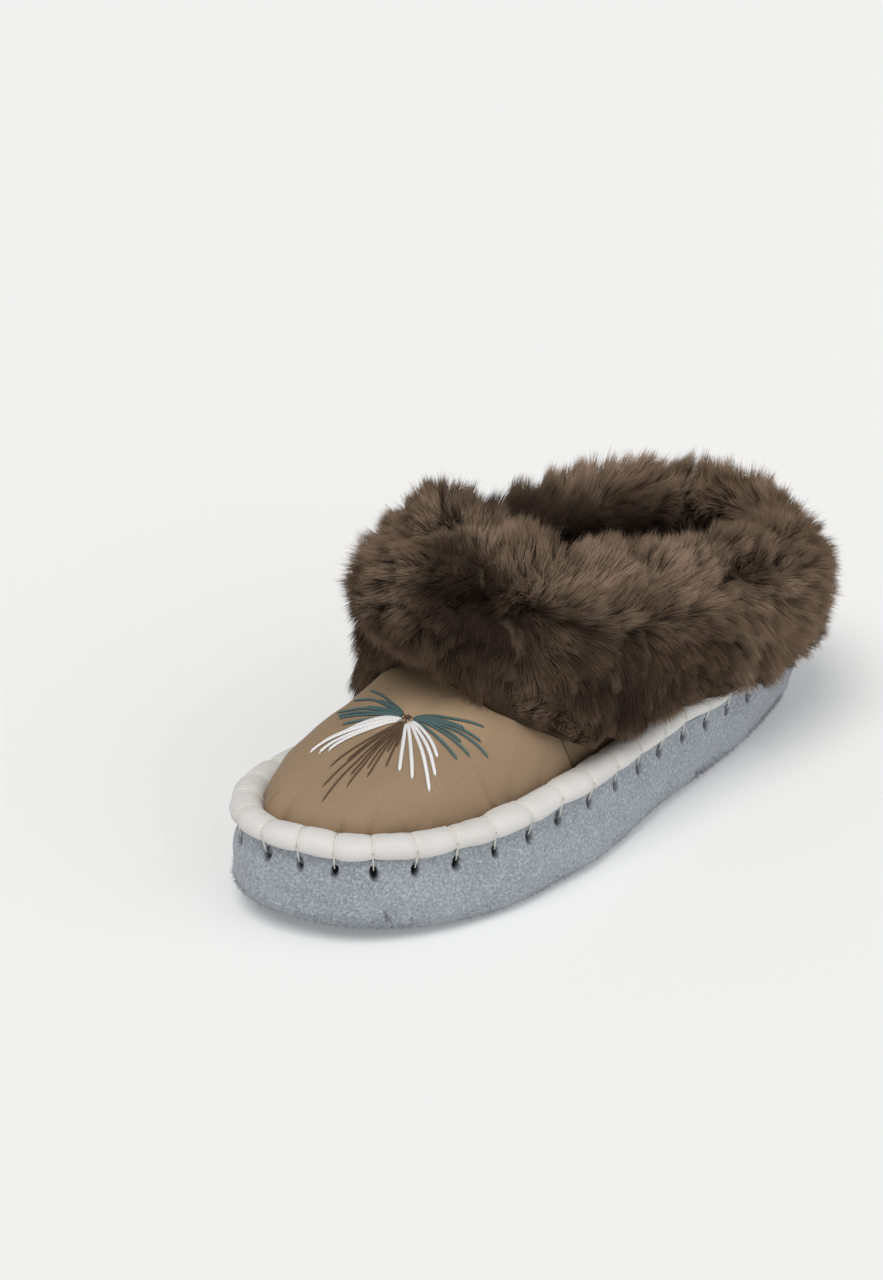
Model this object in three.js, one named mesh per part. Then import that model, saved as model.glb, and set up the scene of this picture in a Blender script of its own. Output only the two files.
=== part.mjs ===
// Sheepskin moccasin, left shoe, standing empty on its sole.
// Millimetres. Toe towards -Y, heel towards +Y, wearer's left (lateral) side towards +X, +Z up.
// The origin is on the floor, under the middle of the shoe's box.

import * as THREE from 'three';

// Driving sizes of the last and the sole
const soleLength = 256;
const ballWidth = 93;
const toeWallHeight = 23.7;
const ballWallHeight = 27.1;
const waistWallHeight = 27.1;
const heelWallHeight = 25.1;
const toeSpring = 6.2;
const heelSpring = 5;
const archRise = 1.2;
const soleFlare = 3.2;
const soleEdgeRadius = 6;

// Thicknesses of the materials
const soleWallThickness = 2.6;
const solePadThickness = 9.7;
const footbedDish = 1.6;
const footbedEdgeRadius = 1.3;
const leatherThickness = 2;
const seamStep = 0.9;

// The padded leather roll that is stitched over the joint of wall and upper
const rollWidth = 12;
const rollHeight = 10.3;
const rollOverhang = 3;
const stitchPinch = 0.8;
const stitchCount = 44;

// The upper above the sole wall
const skirtDepth = 8;
const skirtTopDrop = 0.6;
const upperRiseAtRoll = 3.2;
const collarWidth = 56;
const collarFrontSetback = 106;
const collarBackSetback = 20;
const instepHeight = 60;
const sideHeight = 56;
const backHeight = 62;

// The sheepskin cuff
const cuffReach = 30;
const cuffHeight = 67;
const lockLength = 5.5;
const furLift = 1.1;
const liningThickness = 4.5;

// Clearance between pieces that meet
const clearance = 0.3;
const cuffClearance = 0.5;

// Fineness of the mesh
const columns = 2 * stitchCount;
const furRows = 10;

// Outline of the sole at the top of its wall, a point for each row: along is a share of the sole's
// length from its middle, towards the heel, and across is a share of the width over the ball,
// towards the lateral side. The rows go from the tip of the toe down the medial side and back.
const outlineRows = [
  { place: 'toe tip', across: -0.143, along: -0.5 },
  { place: 'medial toe', across: -0.342, along: -0.439 },
  { place: 'medial toe joint', across: -0.428, along: -0.297 },
  { place: 'medial ball', across: -0.496, along: -0.156 },
  { place: 'medial waist', across: -0.443, along: 0.047 },
  { place: 'medial heel side', across: -0.388, along: 0.273 },
  { place: 'medial heel corner', across: -0.286, along: 0.438 },
  { place: 'heel', across: 0, along: 0.5 },
  { place: 'lateral heel corner', across: 0.281, along: 0.438 },
  { place: 'lateral heel side', across: 0.413, along: 0.273 },
  { place: 'lateral waist', across: 0.457, along: 0.047 },
  { place: 'lateral ball', across: 0.504, along: -0.148 },
  { place: 'little toe', across: 0.448, along: -0.32 },
  { place: 'lateral toe', across: 0.213, along: -0.461 },
];

// Share of the way round from the middle of the toe to the tip, which lies to its medial side
const tipLead = 0.019;

// How far the wall's lower edge stands outside its top, as a share of the flare
const flareRows = [
  { round: 0.02, flare: 0.7 },
  { round: 0.14, flare: 1 },
  { round: 0.27, flare: -0.1 },
  { round: 0.4, flare: -0.3 },
  { round: 0.5, flare: -0.9 },
  { round: 0.56, flare: -1.2 },
  { round: 0.65, flare: -0.7 },
  { round: 0.77, flare: 0.7 },
  { round: 0.9, flare: 0.75 },
];

// Section of the roll: across is a share of its width from its outer edge inwards, up a share of
// its height from the wall's top. Its underside lies on the wall and on the upper.
const rollRows = [
  { place: 'inner flank', across: 0.985, up: 0.6 },
  { place: 'inner shoulder', across: 0.83, up: 0.87 },
  { place: 'crown', across: 0.51, up: 1 },
  { place: 'outer shoulder', across: 0.18, up: 0.88 },
  { place: 'outer edge', across: 0, up: 0.5 },
  { place: 'outer lip', across: 0.09, up: 0.1 },
];

// Edge of the collar opening: along is a share of the collar's length back from its front, across
// a share of its width
const collarRows = [
  { place: 'front', across: -0.05, along: 0 },
  { place: 'medial front', across: -0.34, along: 0.07 },
  { place: 'medial side', across: -0.48, along: 0.28 },
  { place: 'medial back', across: -0.48, along: 0.6 },
  { place: 'medial heel', across: -0.36, along: 0.88 },
  { place: 'back', across: 0, along: 1 },
  { place: 'lateral heel', across: 0.37, along: 0.88 },
  { place: 'lateral back', across: 0.51, along: 0.6 },
  { place: 'lateral side', across: 0.53, along: 0.28 },
  { place: 'lateral front', across: 0.35, along: 0.07 },
];

// How much closer together the columns run at the front of the collar than at its back
const collarGather = 0.5;

// Profile of the upper from the roll to the collar, going round from the toe by the medial side:
// full is the share of its rise that the shoulder reaches, lean how far the shoulder stands
// inwards, and border the share of the profile where the fur begins
const profileRows = [
  { round: 0, full: 0.66, lean: 0, border: 0.87 },
  { round: 0.06, full: 0.76, lean: -0.01, border: 0.86 },
  { round: 0.12, full: 0.92, lean: -0.03, border: 0.74 },
  { round: 0.155, full: 0.98, lean: -0.03, border: 0.58 },
  { round: 0.19, full: 0.98, lean: 0, border: 0.32 },
  { round: 0.24, full: 0.9, lean: 0.05, border: 0.24 },
  { round: 0.37, full: 0.8, lean: 0.05, border: 0.24 },
  { round: 0.5, full: 0.75, lean: 0.05, border: 0.24 },
  { round: 0.63, full: 0.8, lean: 0.05, border: 0.24 },
  { round: 0.76, full: 0.9, lean: 0.05, border: 0.24 },
  { round: 0.8, full: 0.98, lean: 0, border: 0.3 },
  { round: 0.84, full: 0.98, lean: -0.03, border: 0.53 },
  { round: 0.88, full: 0.92, lean: -0.03, border: 0.7 },
  { round: 0.94, full: 0.76, lean: -0.01, border: 0.82 },
];

// Where the vamp ends and the quarter begins on the two sides, as shares of the way round
const vampSeams = [0.192, 0.815];

// Section of the cuff. Its underside leaves the leather at the fur's border, and ends at over, a
// share of the roll's width further out, and hang, a share of the roll's height above the wall's
// top. Its outermost point is at reach and belly, its highest at crest and top, and the one furthest
// into the opening at inner and brim: each pair is a share of the cuff's reach out from the collar's
// edge, and of the cuff's height up from the instep.
const cuffRows = [
  { round: 0, over: 0.25, hang: 3.1, reach: 1.85, belly: 0.44, crest: 0.83, top: 0.92, inner: -0.2,
    brim: 0.5 },
  { round: 0.06, over: 0.25, hang: 3.1, reach: 1.53, belly: 0.44, crest: 0.67, top: 0.85, inner: -0.22,
    brim: 0.5 },
  { round: 0.115, over: 1, hang: 1.8, reach: 1.12, belly: 0.31, crest: 0.36, top: 0.73, inner: -0.26,
    brim: 0.5 },
  { round: 0.19, over: 0.75, hang: 1.5, reach: 0.7, belly: 0.26, crest: 0.18, top: 0.63, inner: -0.34,
    brim: 0.46 },
  { round: 0.275, over: 0.95, hang: 1.15, reach: 0.62, belly: 0.16, crest: 0.1, top: 0.58, inner: -0.36,
    brim: 0.4 },
  { round: 0.37, over: 1.15, hang: 0.6, reach: 0.64, belly: 0.1, crest: 0.06, top: 0.48, inner: -0.34,
    brim: 0.3 },
  { round: 0.45, over: 1.2, hang: 0, reach: 0.74, belly: 0.04, crest: 0.08, top: 0.36, inner: -0.3,
    brim: 0.2 },
  { round: 0.5, over: 1.2, hang: -0.1, reach: 0.84, belly: 0, crest: 0.15, top: 0.31, inner: -0.3,
    brim: 0.15 },
  { round: 0.55, over: 1.2, hang: -0.15, reach: 0.84, belly: 0, crest: 0.12, top: 0.31, inner: -0.3,
    brim: 0.17 },
  { round: 0.63, over: 1.18, hang: 0.3, reach: 0.7, belly: 0.04, crest: 0.1, top: 0.37, inner: -0.36,
    brim: 0.24 },
  { round: 0.73, over: 1.05, hang: 1, reach: 0.66, belly: 0.1, crest: 0.1, top: 0.49, inner: -0.4,
    brim: 0.32 },
  { round: 0.81, over: 0.75, hang: 1.5, reach: 0.74, belly: 0.2, crest: 0.2, top: 0.61, inner: -0.36,
    brim: 0.44 },
  { round: 0.87, over: 0.3, hang: 2.9, reach: 0.92, belly: 0.32, crest: 0.36, top: 0.69, inner: -0.28,
    brim: 0.48 },
  { round: 0.94, over: 0.25, hang: 3.1, reach: 1.42, belly: 0.42, crest: 0.67, top: 0.83, inner: -0.22,
    brim: 0.5 },
];

// Smooth value of a table's column at a share of the way round, passing through its rows
function around(rows, share, key) {
  const n = rows.length;
  const place = (i) => rows[((i % n) + n) % n].round + Math.floor(i / n);
  const value = (i) => rows[((i % n) + n) % n][key];
  const slope = (i) => (value(i + 1) - value(i - 1)) / (place(i + 1) - place(i - 1));
  const s = share < rows[0].round ? share + 1 : share;
  let i = 0;
  while (place(i + 1) <= s) {
    i += 1;
  }
  const span = place(i + 1) - place(i);
  const f = (s - place(i)) / span;
  const blend = f * f * (3 - 2 * f);
  const ease = span * f * (1 - f) * ((1 - f) * slope(i) - f * slope(i + 1));
  return value(i) + (value(i + 1) - value(i)) * blend + ease;
}

// Where the underside's flat stretches under ball and heel begin and end
const ballFront = -0.215 * soleLength;
const ballBack = -0.1 * soleLength;
const heelFront = 0.2 * soleLength;
const heelBack = 0.273 * soleLength;

// Height of the underside over the floor: flat at ball and heel, arched between, sprung at the ends
function lift(y) {
  if (y < ballFront) {
    return toeSpring * ((ballFront - y) / (ballFront + soleLength / 2)) ** 2;
  }
  if (y > heelBack) {
    return heelSpring * ((y - heelBack) / (soleLength / 2 - heelBack)) ** 2;
  }
  if (y > ballBack && y < heelFront) {
    return archRise * Math.sin((Math.PI * (y - ballBack)) / (heelFront - ballBack)) ** 2;
  }
  return 0;
}

// Spring of toe and heel alone, which the wall's top follows: the arch lifts only the underside
function springLift(y) {
  return y > ballBack && y < heelFront ? 0 : lift(y);
}

// Height of the wall's top edge over the floor
function wallTop(y) {
  const stations = [
    { along: -0.5, height: toeWallHeight },
    { along: -0.156, height: ballWallHeight },
    { along: 0.08, height: waistWallHeight },
    { along: 0.5, height: heelWallHeight },
  ];
  const share = THREE.MathUtils.clamp(y / soleLength, -0.5, 0.5);
  let i = 0;
  while (i < stations.length - 2 && share > stations[i + 1].along) {
    i += 1;
  }
  const a = stations[i];
  const b = stations[i + 1];
  const height = THREE.MathUtils.mapLinear(share, a.along, b.along, a.height, b.height);
  return height + springLift(y);
}

const outline = new THREE.CatmullRomCurve3(
  outlineRows.map((row) => new THREE.Vector3(row.across * ballWidth, row.along * soleLength, 0)),
  true,
);
outline.arcLengthDivisions = 800;

const collarFront = collarFrontSetback - soleLength / 2;
const collarLength = soleLength - collarFrontSetback - collarBackSetback;
const collar = new THREE.CatmullRomCurve3(
  collarRows.map((row) => new THREE.Vector3(
    row.across * collarWidth,
    collarFront + row.along * collarLength,
    0,
  )),
  true,
);
collar.arcLengthDivisions = 600;

// Outward normal of a curve that runs clockwise seen from above
function outwards(curve, share) {
  const t = curve.getTangentAt(share);
  return new THREE.Vector3(-t.y, t.x, 0).normalize();
}

// Height of the collar's edge, which rises towards its front and its back
function collarHeight(y) {
  const along = (y - collarFront) / collarLength;
  const front = Math.max(0, 1 - along / 0.3) ** 2;
  const back = Math.max(0, 1 - (1 - along) / 0.4) ** 2;
  return sideHeight + (instepHeight - sideHeight) * front + (backHeight - sideHeight) * back;
}

// A column of the shoe: its place on the outline and on the collar, and the two normals
function column(share) {
  const onOutline = (share + 1 - tipLead) % 1;
  const onCollar = share - (collarGather * Math.sin(2 * Math.PI * share)) / (2 * Math.PI);
  const base = outline.getPointAt(onOutline);
  const edge = collar.getPointAt(onCollar);
  edge.z = collarHeight(edge.y);
  return {
    share,
    base,
    edge,
    baseOut: outwards(outline, onOutline),
    edgeOut: outwards(collar, onCollar),
    top: wallTop(base.y),
  };
}

// Point of a column at an inset from the outline and a height over the wall's top
function atInset(col, inset, height) {
  const p = col.base.clone().addScaledVector(col.baseOut, -inset);
  p.z = col.top + height;
  return p;
}

const cols = Array.from({ length: columns }, (_, i) => column(i / columns));

// Mesh of vertices and triangles, with its faces turned outwards
function solid(name, points, faces, color, roughness) {
  let volume = 0;
  for (const [a, b, c] of faces) {
    volume += points[a].dot(new THREE.Vector3().crossVectors(points[b], points[c]));
  }
  const turned = volume < 0 ? faces.map(([a, b, c]) => [a, c, b]) : faces;
  const geometry = new THREE.BufferGeometry();
  geometry.setAttribute(
    'position',
    new THREE.Float32BufferAttribute(points.flatMap((p) => [p.x, p.y, p.z]), 3),
  );
  geometry.setIndex(turned.flat());
  geometry.computeVertexNormals();
  const material = new THREE.MeshStandardMaterial({ color, roughness, metalness: 0 });
  const mesh = new THREE.Mesh(geometry, material);
  mesh.name = name;
  return mesh;
}

// Two triangles for each cell between closed rows of points; skip leaves a cell open
function skin(rowCount, rowLength, closedRows, skip = () => false) {
  const faces = [];
  const last = closedRows ? rowCount : rowCount - 1;
  for (let r = 0; r < last; r += 1) {
    for (let k = 0; k < rowLength; k += 1) {
      const a = r * rowLength + k;
      const b = r * rowLength + ((k + 1) % rowLength);
      const c = ((r + 1) % rowCount) * rowLength + k;
      const d = ((r + 1) % rowCount) * rowLength + ((k + 1) % rowLength);
      if (!skip(r, k)) {
        faces.push([a, b, d], [a, d, c]);
      }
    }
  }
  return faces;
}

// Lid over a ring, laid as rungs from its medial to its lateral side
function lid(start, count, flip) {
  const faces = [];
  for (let k = 0; k < count / 2; k += 1) {
    const a = start + k;
    const b = start + k + 1;
    const c = start + ((count - k) % count);
    const d = start + count - k - 1;
    if (a !== c) {
      faces.push([a, c, b]);
    }
    if (b !== d) {
      faces.push([b, c, d]);
    }
  }
  return flip ? faces.map(([a, b, c]) => [a, c, b]) : faces;
}

// Closed body from a stack of rings, the first and the last with a lid
function stack(name, rings, color, roughness) {
  const count = rings[0].length;
  const faces = [
    ...skin(rings.length, count, false),
    ...lid(0, count, false),
    ...lid((rings.length - 1) * count, count, true),
  ];
  return solid(name, rings.flat(), faces, color, roughness);
}

// Outsole: padded sole and standing wall in one suede-covered cup
function makeOutsole() {
  const flareAt = (col) => soleFlare * around(flareRows, col.share, 'flare');
  const side = (heightShare) => cols.map((col) => {
    const low = lift(col.base.y) + soleEdgeRadius;
    const p = atInset(col, -flareAt(col) * (1 - heightShare), 0);
    p.z = THREE.MathUtils.lerp(low, col.top, heightShare);
    return p;
  });
  const edge = (degrees) => cols.map((col) => {
    const turn = THREE.MathUtils.degToRad(degrees);
    const inset = soleEdgeRadius * (1 - Math.cos(turn)) - flareAt(col);
    const p = atInset(col, inset, 0);
    p.z = lift(col.base.y) + soleEdgeRadius * (1 - Math.sin(turn));
    return p;
  });
  const floor = cols.map((col) => {
    const p = atInset(col, soleWallThickness, 0);
    p.z = springLift(p.y) + solePadThickness;
    return p;
  });
  const underside = cols.map((col) => {
    const p = atInset(col, 3 * soleEdgeRadius, 0);
    p.z = lift(p.y);
    return p;
  });
  const rings = [
    underside,
    edge(90),
    edge(60),
    edge(30),
    side(0),
    side(0.5),
    side(1),
    cols.map((col) => atInset(col, soleWallThickness, 0)),
    floor,
  ];
  return stack('outsole', rings, 0x9aa1a8, 0.95);
}

// Insole: soft footbed that fills the cup up to the lower edge of the upper
function makeInsole() {
  const some = cols.filter((_, i) => i % 2 === 0);
  const rim = soleWallThickness + clearance;
  const underneath = (inset) => some.map((col) => {
    const p = atInset(col, inset, 0);
    p.z = springLift(p.y) + solePadThickness + clearance;
    return p;
  });
  const onTop = (inset, sink) => some.map((col) => {
    return atInset(col, inset, -skirtDepth - clearance - sink);
  });
  const hollow = rim + leatherThickness + 4 * footbedDish;
  const rings = [
    underneath(rim + footbedEdgeRadius),
    onTop(rim, footbedEdgeRadius),
    onTop(rim + footbedEdgeRadius, 0),
    onTop(hollow, footbedDish / 2),
    onTop(2 * hollow, footbedDish),
  ];
  return stack('insole', rings, 0x6b5c4e, 1);
}

// Welt roll: its section swept round the outline, pinched where a stitch crosses it
function makeRoll() {
  const innerEdge = rollWidth - rollOverhang;
  const underside = [
    { inset: 0, height: 0 },
    { inset: soleWallThickness, height: 0 },
    { inset: innerEdge - clearance, height: upperRiseAtRoll + clearance },
  ];
  const crown = rollRows.find((row) => row.place === 'crown').across;
  const points = cols.flatMap((col, i) => {
    const pinch = i % 2 === 0 ? stitchPinch : 0;
    const face = rollRows.map((row) => {
      const pull = Math.sign(row.across - crown) * pinch * row.up;
      return {
        inset: row.across * rollWidth - rollOverhang - pull,
        height: row.up * (rollHeight - pinch),
      };
    });
    return [...underside, ...face].map((p) => atInset(col, p.inset, p.height + clearance));
  });
  const faces = skin(columns, underside.length + rollRows.length, true);
  return solid('welt_roll', points, faces, 0xdedcd6, 0.6);
}

// The upper's outer face in a column, from the roll to the collar: a bow over its shoulder
function bow(col) {
  const start = atInset(col, rollWidth - rollOverhang, upperRiseAtRoll);
  const full = around(profileRows, col.share, 'full');
  const lean = around(profileRows, col.share, 'lean');
  const shoulder = start.clone().lerp(col.edge, lean);
  shoulder.z = THREE.MathUtils.lerp(start.z, col.edge.z, full);
  return new THREE.QuadraticBezierCurve3(start, shoulder, col.edge);
}

// Shares of the bow at which the upper has rows: three up to the fur's border, three beyond it
function bowShares(col) {
  const border = around(profileRows, col.share, 'border');
  const thirds = [0.3, 0.65, 1];
  return [...thirds.map((s) => s * border), ...thirds.map((s) => border + s * (1 - border))];
}

const skirtInset = soleWallThickness + clearance;
const bows = cols.map(bow);

// Outer face of the upper, a row of points for each column; the vamp overlaps the quarter by a step
const outerRows = cols.map((col, i) => {
  const onVamp = col.share < vampSeams[0] || col.share > vampSeams[1];
  const visible = bowShares(col).map((s) => bows[i].getPoint(s));
  visible.slice(0, -2).forEach((p) => p.addScaledVector(col.baseOut, onVamp ? 0 : -seamStep));
  return [
    atInset(col, skirtInset, -skirtDepth),
    atInset(col, skirtInset, -skirtTopDrop),
    bows[i].getPoint(0),
    ...visible,
  ];
});

// Normals of a grid of columns and rows, pointing away from the foot
function gridNormals(grid) {
  return grid.map((rows, i) => rows.map((p, j) => {
    const before = grid[(i + grid.length - 1) % grid.length][j];
    const after = grid[(i + 1) % grid.length][j];
    const low = rows[Math.max(0, j - 1)];
    const high = rows[Math.min(rows.length - 1, j + 1)];
    const round = after.clone().sub(before);
    const rise = high.clone().sub(low);
    return rise.cross(round).normalize();
  }));
}

const outerNormals = gridNormals(outerRows);

// A grid moved along its normals
function offset(grid, normals, distance) {
  return grid.map((rows, i) => rows.map((p, j) => {
    return p.clone().addScaledVector(normals[i][j], distance);
  }));
}

const innerRows = offset(outerRows, outerNormals, -leatherThickness);

// Where the cuff's back lies over the leather on its outside, and on its inside
const backing = offset(outerRows, outerNormals, cuffClearance);
const facing = offset(innerRows, outerNormals, -cuffClearance);

// Rows of the upper at the fur's border, and of the cuff at its hem and at its belly
const borderRow = outerRows[0].length - 4;
const hemRow = 2;
const bellyRow = 5;

// Upper: one leather shell, open at the collar and over the sole
function makeUpper() {
  const sections = outerRows.map((rows, i) => {
    const inner = innerRows[i].map((p) => p.clone());
    inner[0].z = rows[0].z;
    return [...rows, ...inner.reverse()];
  });
  const faces = skin(columns, sections[0].length, true);
  return solid('upper', sections.flat(), faces, 0x957d64, 0.7);
}

// Repeatable scatter between 0 and 1 for the lie of the fur
function scatter(i, j) {
  const wave = Math.sin(i * 12.9898 + j * 78.233) * 43758.5453;
  return wave - Math.floor(wave);
}

// Section of the cuff in a column: its underside over the roll, the fur's face from the hem up over
// the crest and into the opening, and its back on the leather from the inside to the outside
function cuffSection(col, i) {
  const row = (key) => around(cuffRows, col.share, key);
  const last = outerRows[i].length - 1;
  const outside = backing[i].slice(borderRow);
  const overEdge = [facing[i][last], backing[i][last]].map((p) => {
    return p.clone().setZ(p.z + leatherThickness / 2);
  });
  const inside = facing[i][last].clone().lerp(facing[i][last - 1], 0.6);
  const lining = inside.clone().addScaledVector(col.edgeOut, -liningThickness);
  const rest = bows[i].getPoint(around(profileRows, col.share, 'border'));
  const underside = (over, height) => {
    return rest.clone().addScaledVector(col.baseOut, over * rollWidth).setZ(height);
  };
  const fromEdge = (out, high) => {
    const p = col.edge.clone().addScaledVector(col.edgeOut, out * cuffReach);
    return p.setZ(instepHeight + high * cuffHeight);
  };
  const rollTop = col.top + clearance + rollHeight;
  const hem = col.top + row('hang') * rollHeight;
  const seat = Math.max(rest.z, rollTop) + furLift;
  const bend = Math.max(rollTop - 2 * furLift, (seat + hem) / 2);
  const face = new THREE.CatmullRomCurve3([
    underside(row('over'), hem),
    fromEdge(row('reach'), row('belly')),
    fromEdge(row('crest'), row('top')),
    fromEdge(row('inner'), row('brim')),
    lining,
  ]);
  return [
    underside(0.66 * row('over'), seat),
    underside(0.93 * row('over'), bend),
    ...face.getSpacedPoints(furRows),
    inside,
    ...overEdge,
    ...outside.reverse(),
  ];
}

// Tip of the lock that stands on a cell of the fur's face: hanging below the belly, upright above
function lockTip(cell, r, k) {
  const [a, b, c, d] = cell;
  const middle = a.clone().add(b).add(c).add(d).multiplyScalar(0.25);
  const normal = b.clone().sub(d).cross(c.clone().sub(a)).normalize();
  const fall = k < bellyRow ? -0.5 : 0.25;
  middle.addScaledVector(normal, lockLength * (0.7 + 0.6 * scatter(r, k)));
  middle.z += fall * lockLength * scatter(k, r);
  middle.y += 0.4 * lockLength * (scatter(r + 7, k) - 0.3);
  return middle;
}

// Cuff: a ring of deep fur round the collar, with a lock on every other cell of its face
function makeCuff() {
  const sections = cols.map(cuffSection);
  const points = sections.flat();
  const length = sections[0].length;
  const isLock = (r, k) => k >= hemRow && k < hemRow + furRows - 1 && (r + k) % 2 === 0;
  const faces = skin(columns, length, true, isLock);
  sections.forEach((section, r) => section.forEach((p, k) => {
    if (isLock(r, k)) {
      const next = (r + 1) % columns;
      const corners = [[r, k], [r, k + 1], [next, k + 1], [next, k]].map(([i, j]) => i * length + j);
      points.push(lockTip(corners.map((corner) => points[corner]), r, k));
      corners.forEach((corner, n) => faces.push([corner, corners[(n + 1) % 4], points.length - 1]));
    }
  }));
  return solid('fur_cuff', points, faces, 0x5d5046, 1);
}

const shoe = new THREE.Group();
shoe.add(makeOutsole(), makeInsole(), makeRoll(), makeUpper(), makeCuff());

const box = new THREE.Box3().setFromObject(shoe);
const middle = box.getCenter(new THREE.Vector3());
shoe.position.set(-middle.x, -middle.y, -box.min.z);

export default shoe;
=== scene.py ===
"""Dresses the sheepskin moccasin: suede cup, stitched roll, embroidered vamp and deep fur."""

import math

import bpy
import numpy as np
from bpy.props import FloatProperty, FloatVectorProperty, IntProperty, PointerProperty
from mathutils import Matrix, Vector
from mathutils.bvhtree import BVHTree
from mathutils.kdtree import KDTree


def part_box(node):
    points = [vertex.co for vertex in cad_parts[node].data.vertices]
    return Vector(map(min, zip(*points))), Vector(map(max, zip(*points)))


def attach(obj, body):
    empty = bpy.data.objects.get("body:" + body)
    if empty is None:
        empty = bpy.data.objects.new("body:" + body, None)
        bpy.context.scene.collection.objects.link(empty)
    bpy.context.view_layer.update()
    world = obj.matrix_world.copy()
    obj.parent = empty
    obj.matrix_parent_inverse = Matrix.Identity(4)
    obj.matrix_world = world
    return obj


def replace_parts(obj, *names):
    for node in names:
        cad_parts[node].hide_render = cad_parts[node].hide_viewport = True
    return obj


bl_info = {
    "name": "Sheepskin Moccasin",
    "version": (1, 0, 0),
    "blender": (4, 5, 0),
    "location": "3D View > Sidebar > Moccasin",
    "description": "Dresses the solids of a sheepskin moccasin with leather, stitching and fur",
    "category": "Object",
}

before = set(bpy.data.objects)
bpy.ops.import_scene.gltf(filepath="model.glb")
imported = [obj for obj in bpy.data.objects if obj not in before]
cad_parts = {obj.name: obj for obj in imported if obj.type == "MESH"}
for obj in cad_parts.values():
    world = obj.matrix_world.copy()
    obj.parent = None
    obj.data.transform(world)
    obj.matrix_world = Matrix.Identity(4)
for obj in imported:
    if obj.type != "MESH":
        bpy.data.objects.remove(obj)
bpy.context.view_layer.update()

# Sizes of the shoe in millimetres, the same as the solids'. The toe points to -Y and the lateral
# side to +X; the raw place is that of the sole's outline, whose middle is the origin.
MM = 0.001
SOLE_LENGTH = 256
BALL_WIDTH = 93
TOE_WALL, BALL_WALL, WAIST_WALL, HEEL_WALL = 23.7, 27.1, 27.1, 25.1
TOE_SPRING, HEEL_SPRING, ARCH_RISE = 6.2, 5, 1.2
SOLE_FLARE, SOLE_EDGE = 3.2, 6
WALL_THICKNESS, PAD_THICKNESS = 2.6, 9.7
FOOTBED_DISH = 1.6
LEATHER = 2
SEAM_STEP = 0.9
ROLL_WIDTH, ROLL_HEIGHT, ROLL_OVERHANG = 12, 10.3, 3
STITCHES = 44
SKIRT_DEPTH = 8
RISE_AT_ROLL = 3.2
COLLAR_WIDTH, COLLAR_FRONT_SETBACK, COLLAR_BACK_SETBACK = 56, 106, 20
INSTEP_HEIGHT, SIDE_HEIGHT, BACK_HEIGHT = 60, 56, 62
CUFF_REACH, CUFF_HEIGHT = 30, 67
LINING = 4.5
CLEARANCE = 0.3
TIP_LEAD = 0.019
COLLAR_GATHER = 0.5
VAMP_SEAMS = (0.192, 0.815)

# The vamp's seams slant: how far behind their place they leave the roll, the share of the way up to
# the collar where they cross it, and the share by which the columns draw together at the collar
SEAM_SLANT, SEAM_CROSSING, COLUMNS_CLOSER = 14, 0.45, 0.35

# Outline of the sole, as shares of the ball's width and of the sole's length
OUTLINE = {
    "across": (-0.143, -0.342, -0.428, -0.496, -0.443, -0.388, -0.286, 0, 0.281, 0.413, 0.457,
               0.504, 0.448, 0.213),
    "along": (-0.5, -0.439, -0.297, -0.156, 0.047, 0.273, 0.438, 0.5, 0.438, 0.273, 0.047,
              -0.148, -0.32, -0.461),
}
# How far the wall leans out round the sole, in shares of the sole's flare
FLARE = {
    "round": (0.02, 0.14, 0.27, 0.4, 0.5, 0.56, 0.65, 0.77, 0.9),
    "flare": (0.7, 1, -0.1, -0.3, -0.9, -1.2, -0.7, 0.7, 0.75),
}
# Section of the roll: its underside, then its face from the inner flank to the outer lip; its middle
ROLL = {
    "inset": (0.3, 2.6, 8.5, 8.4, 6.6, 3.1, -0.4, -2.3, -1.7),
    "height": (1.7, 0.4, 3.3, 5.4, 7.8, 8.9, 8.0, 5.4, 2.7),
}
ROLL_MIDDLE = np.array([2.9, 4.3])
# Outline of the collar, as shares of its width and of its length
COLLAR = {
    "across": (-0.05, -0.34, -0.48, -0.48, -0.36, 0, 0.37, 0.51, 0.53, 0.35),
    "along": (0, 0.07, 0.28, 0.6, 0.88, 1, 0.88, 0.6, 0.28, 0.07),
}
# The upper round the shoe: how high its shoulder stands and how far it leans in, as shares of the
# way to the collar, and the share of the way up where the fur begins
PROFILE = {
    "round": (0, 0.06, 0.12, 0.155, 0.19, 0.24, 0.37, 0.5, 0.63, 0.76, 0.8, 0.84, 0.88, 0.94),
    "full": (0.66, 0.76, 0.92, 0.98, 0.98, 0.9, 0.8, 0.75, 0.8, 0.9, 0.98, 0.98, 0.92, 0.76),
    "lean": (0, -0.01, -0.03, -0.03, 0, 0.05, 0.05, 0.05, 0.05, 0.05, 0, -0.03, -0.03, -0.01),
    "border": (0.87, 0.86, 0.74, 0.58, 0.32, 0.24, 0.24, 0.24, 0.24, 0.24, 0.3, 0.53, 0.7, 0.82),
}
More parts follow.
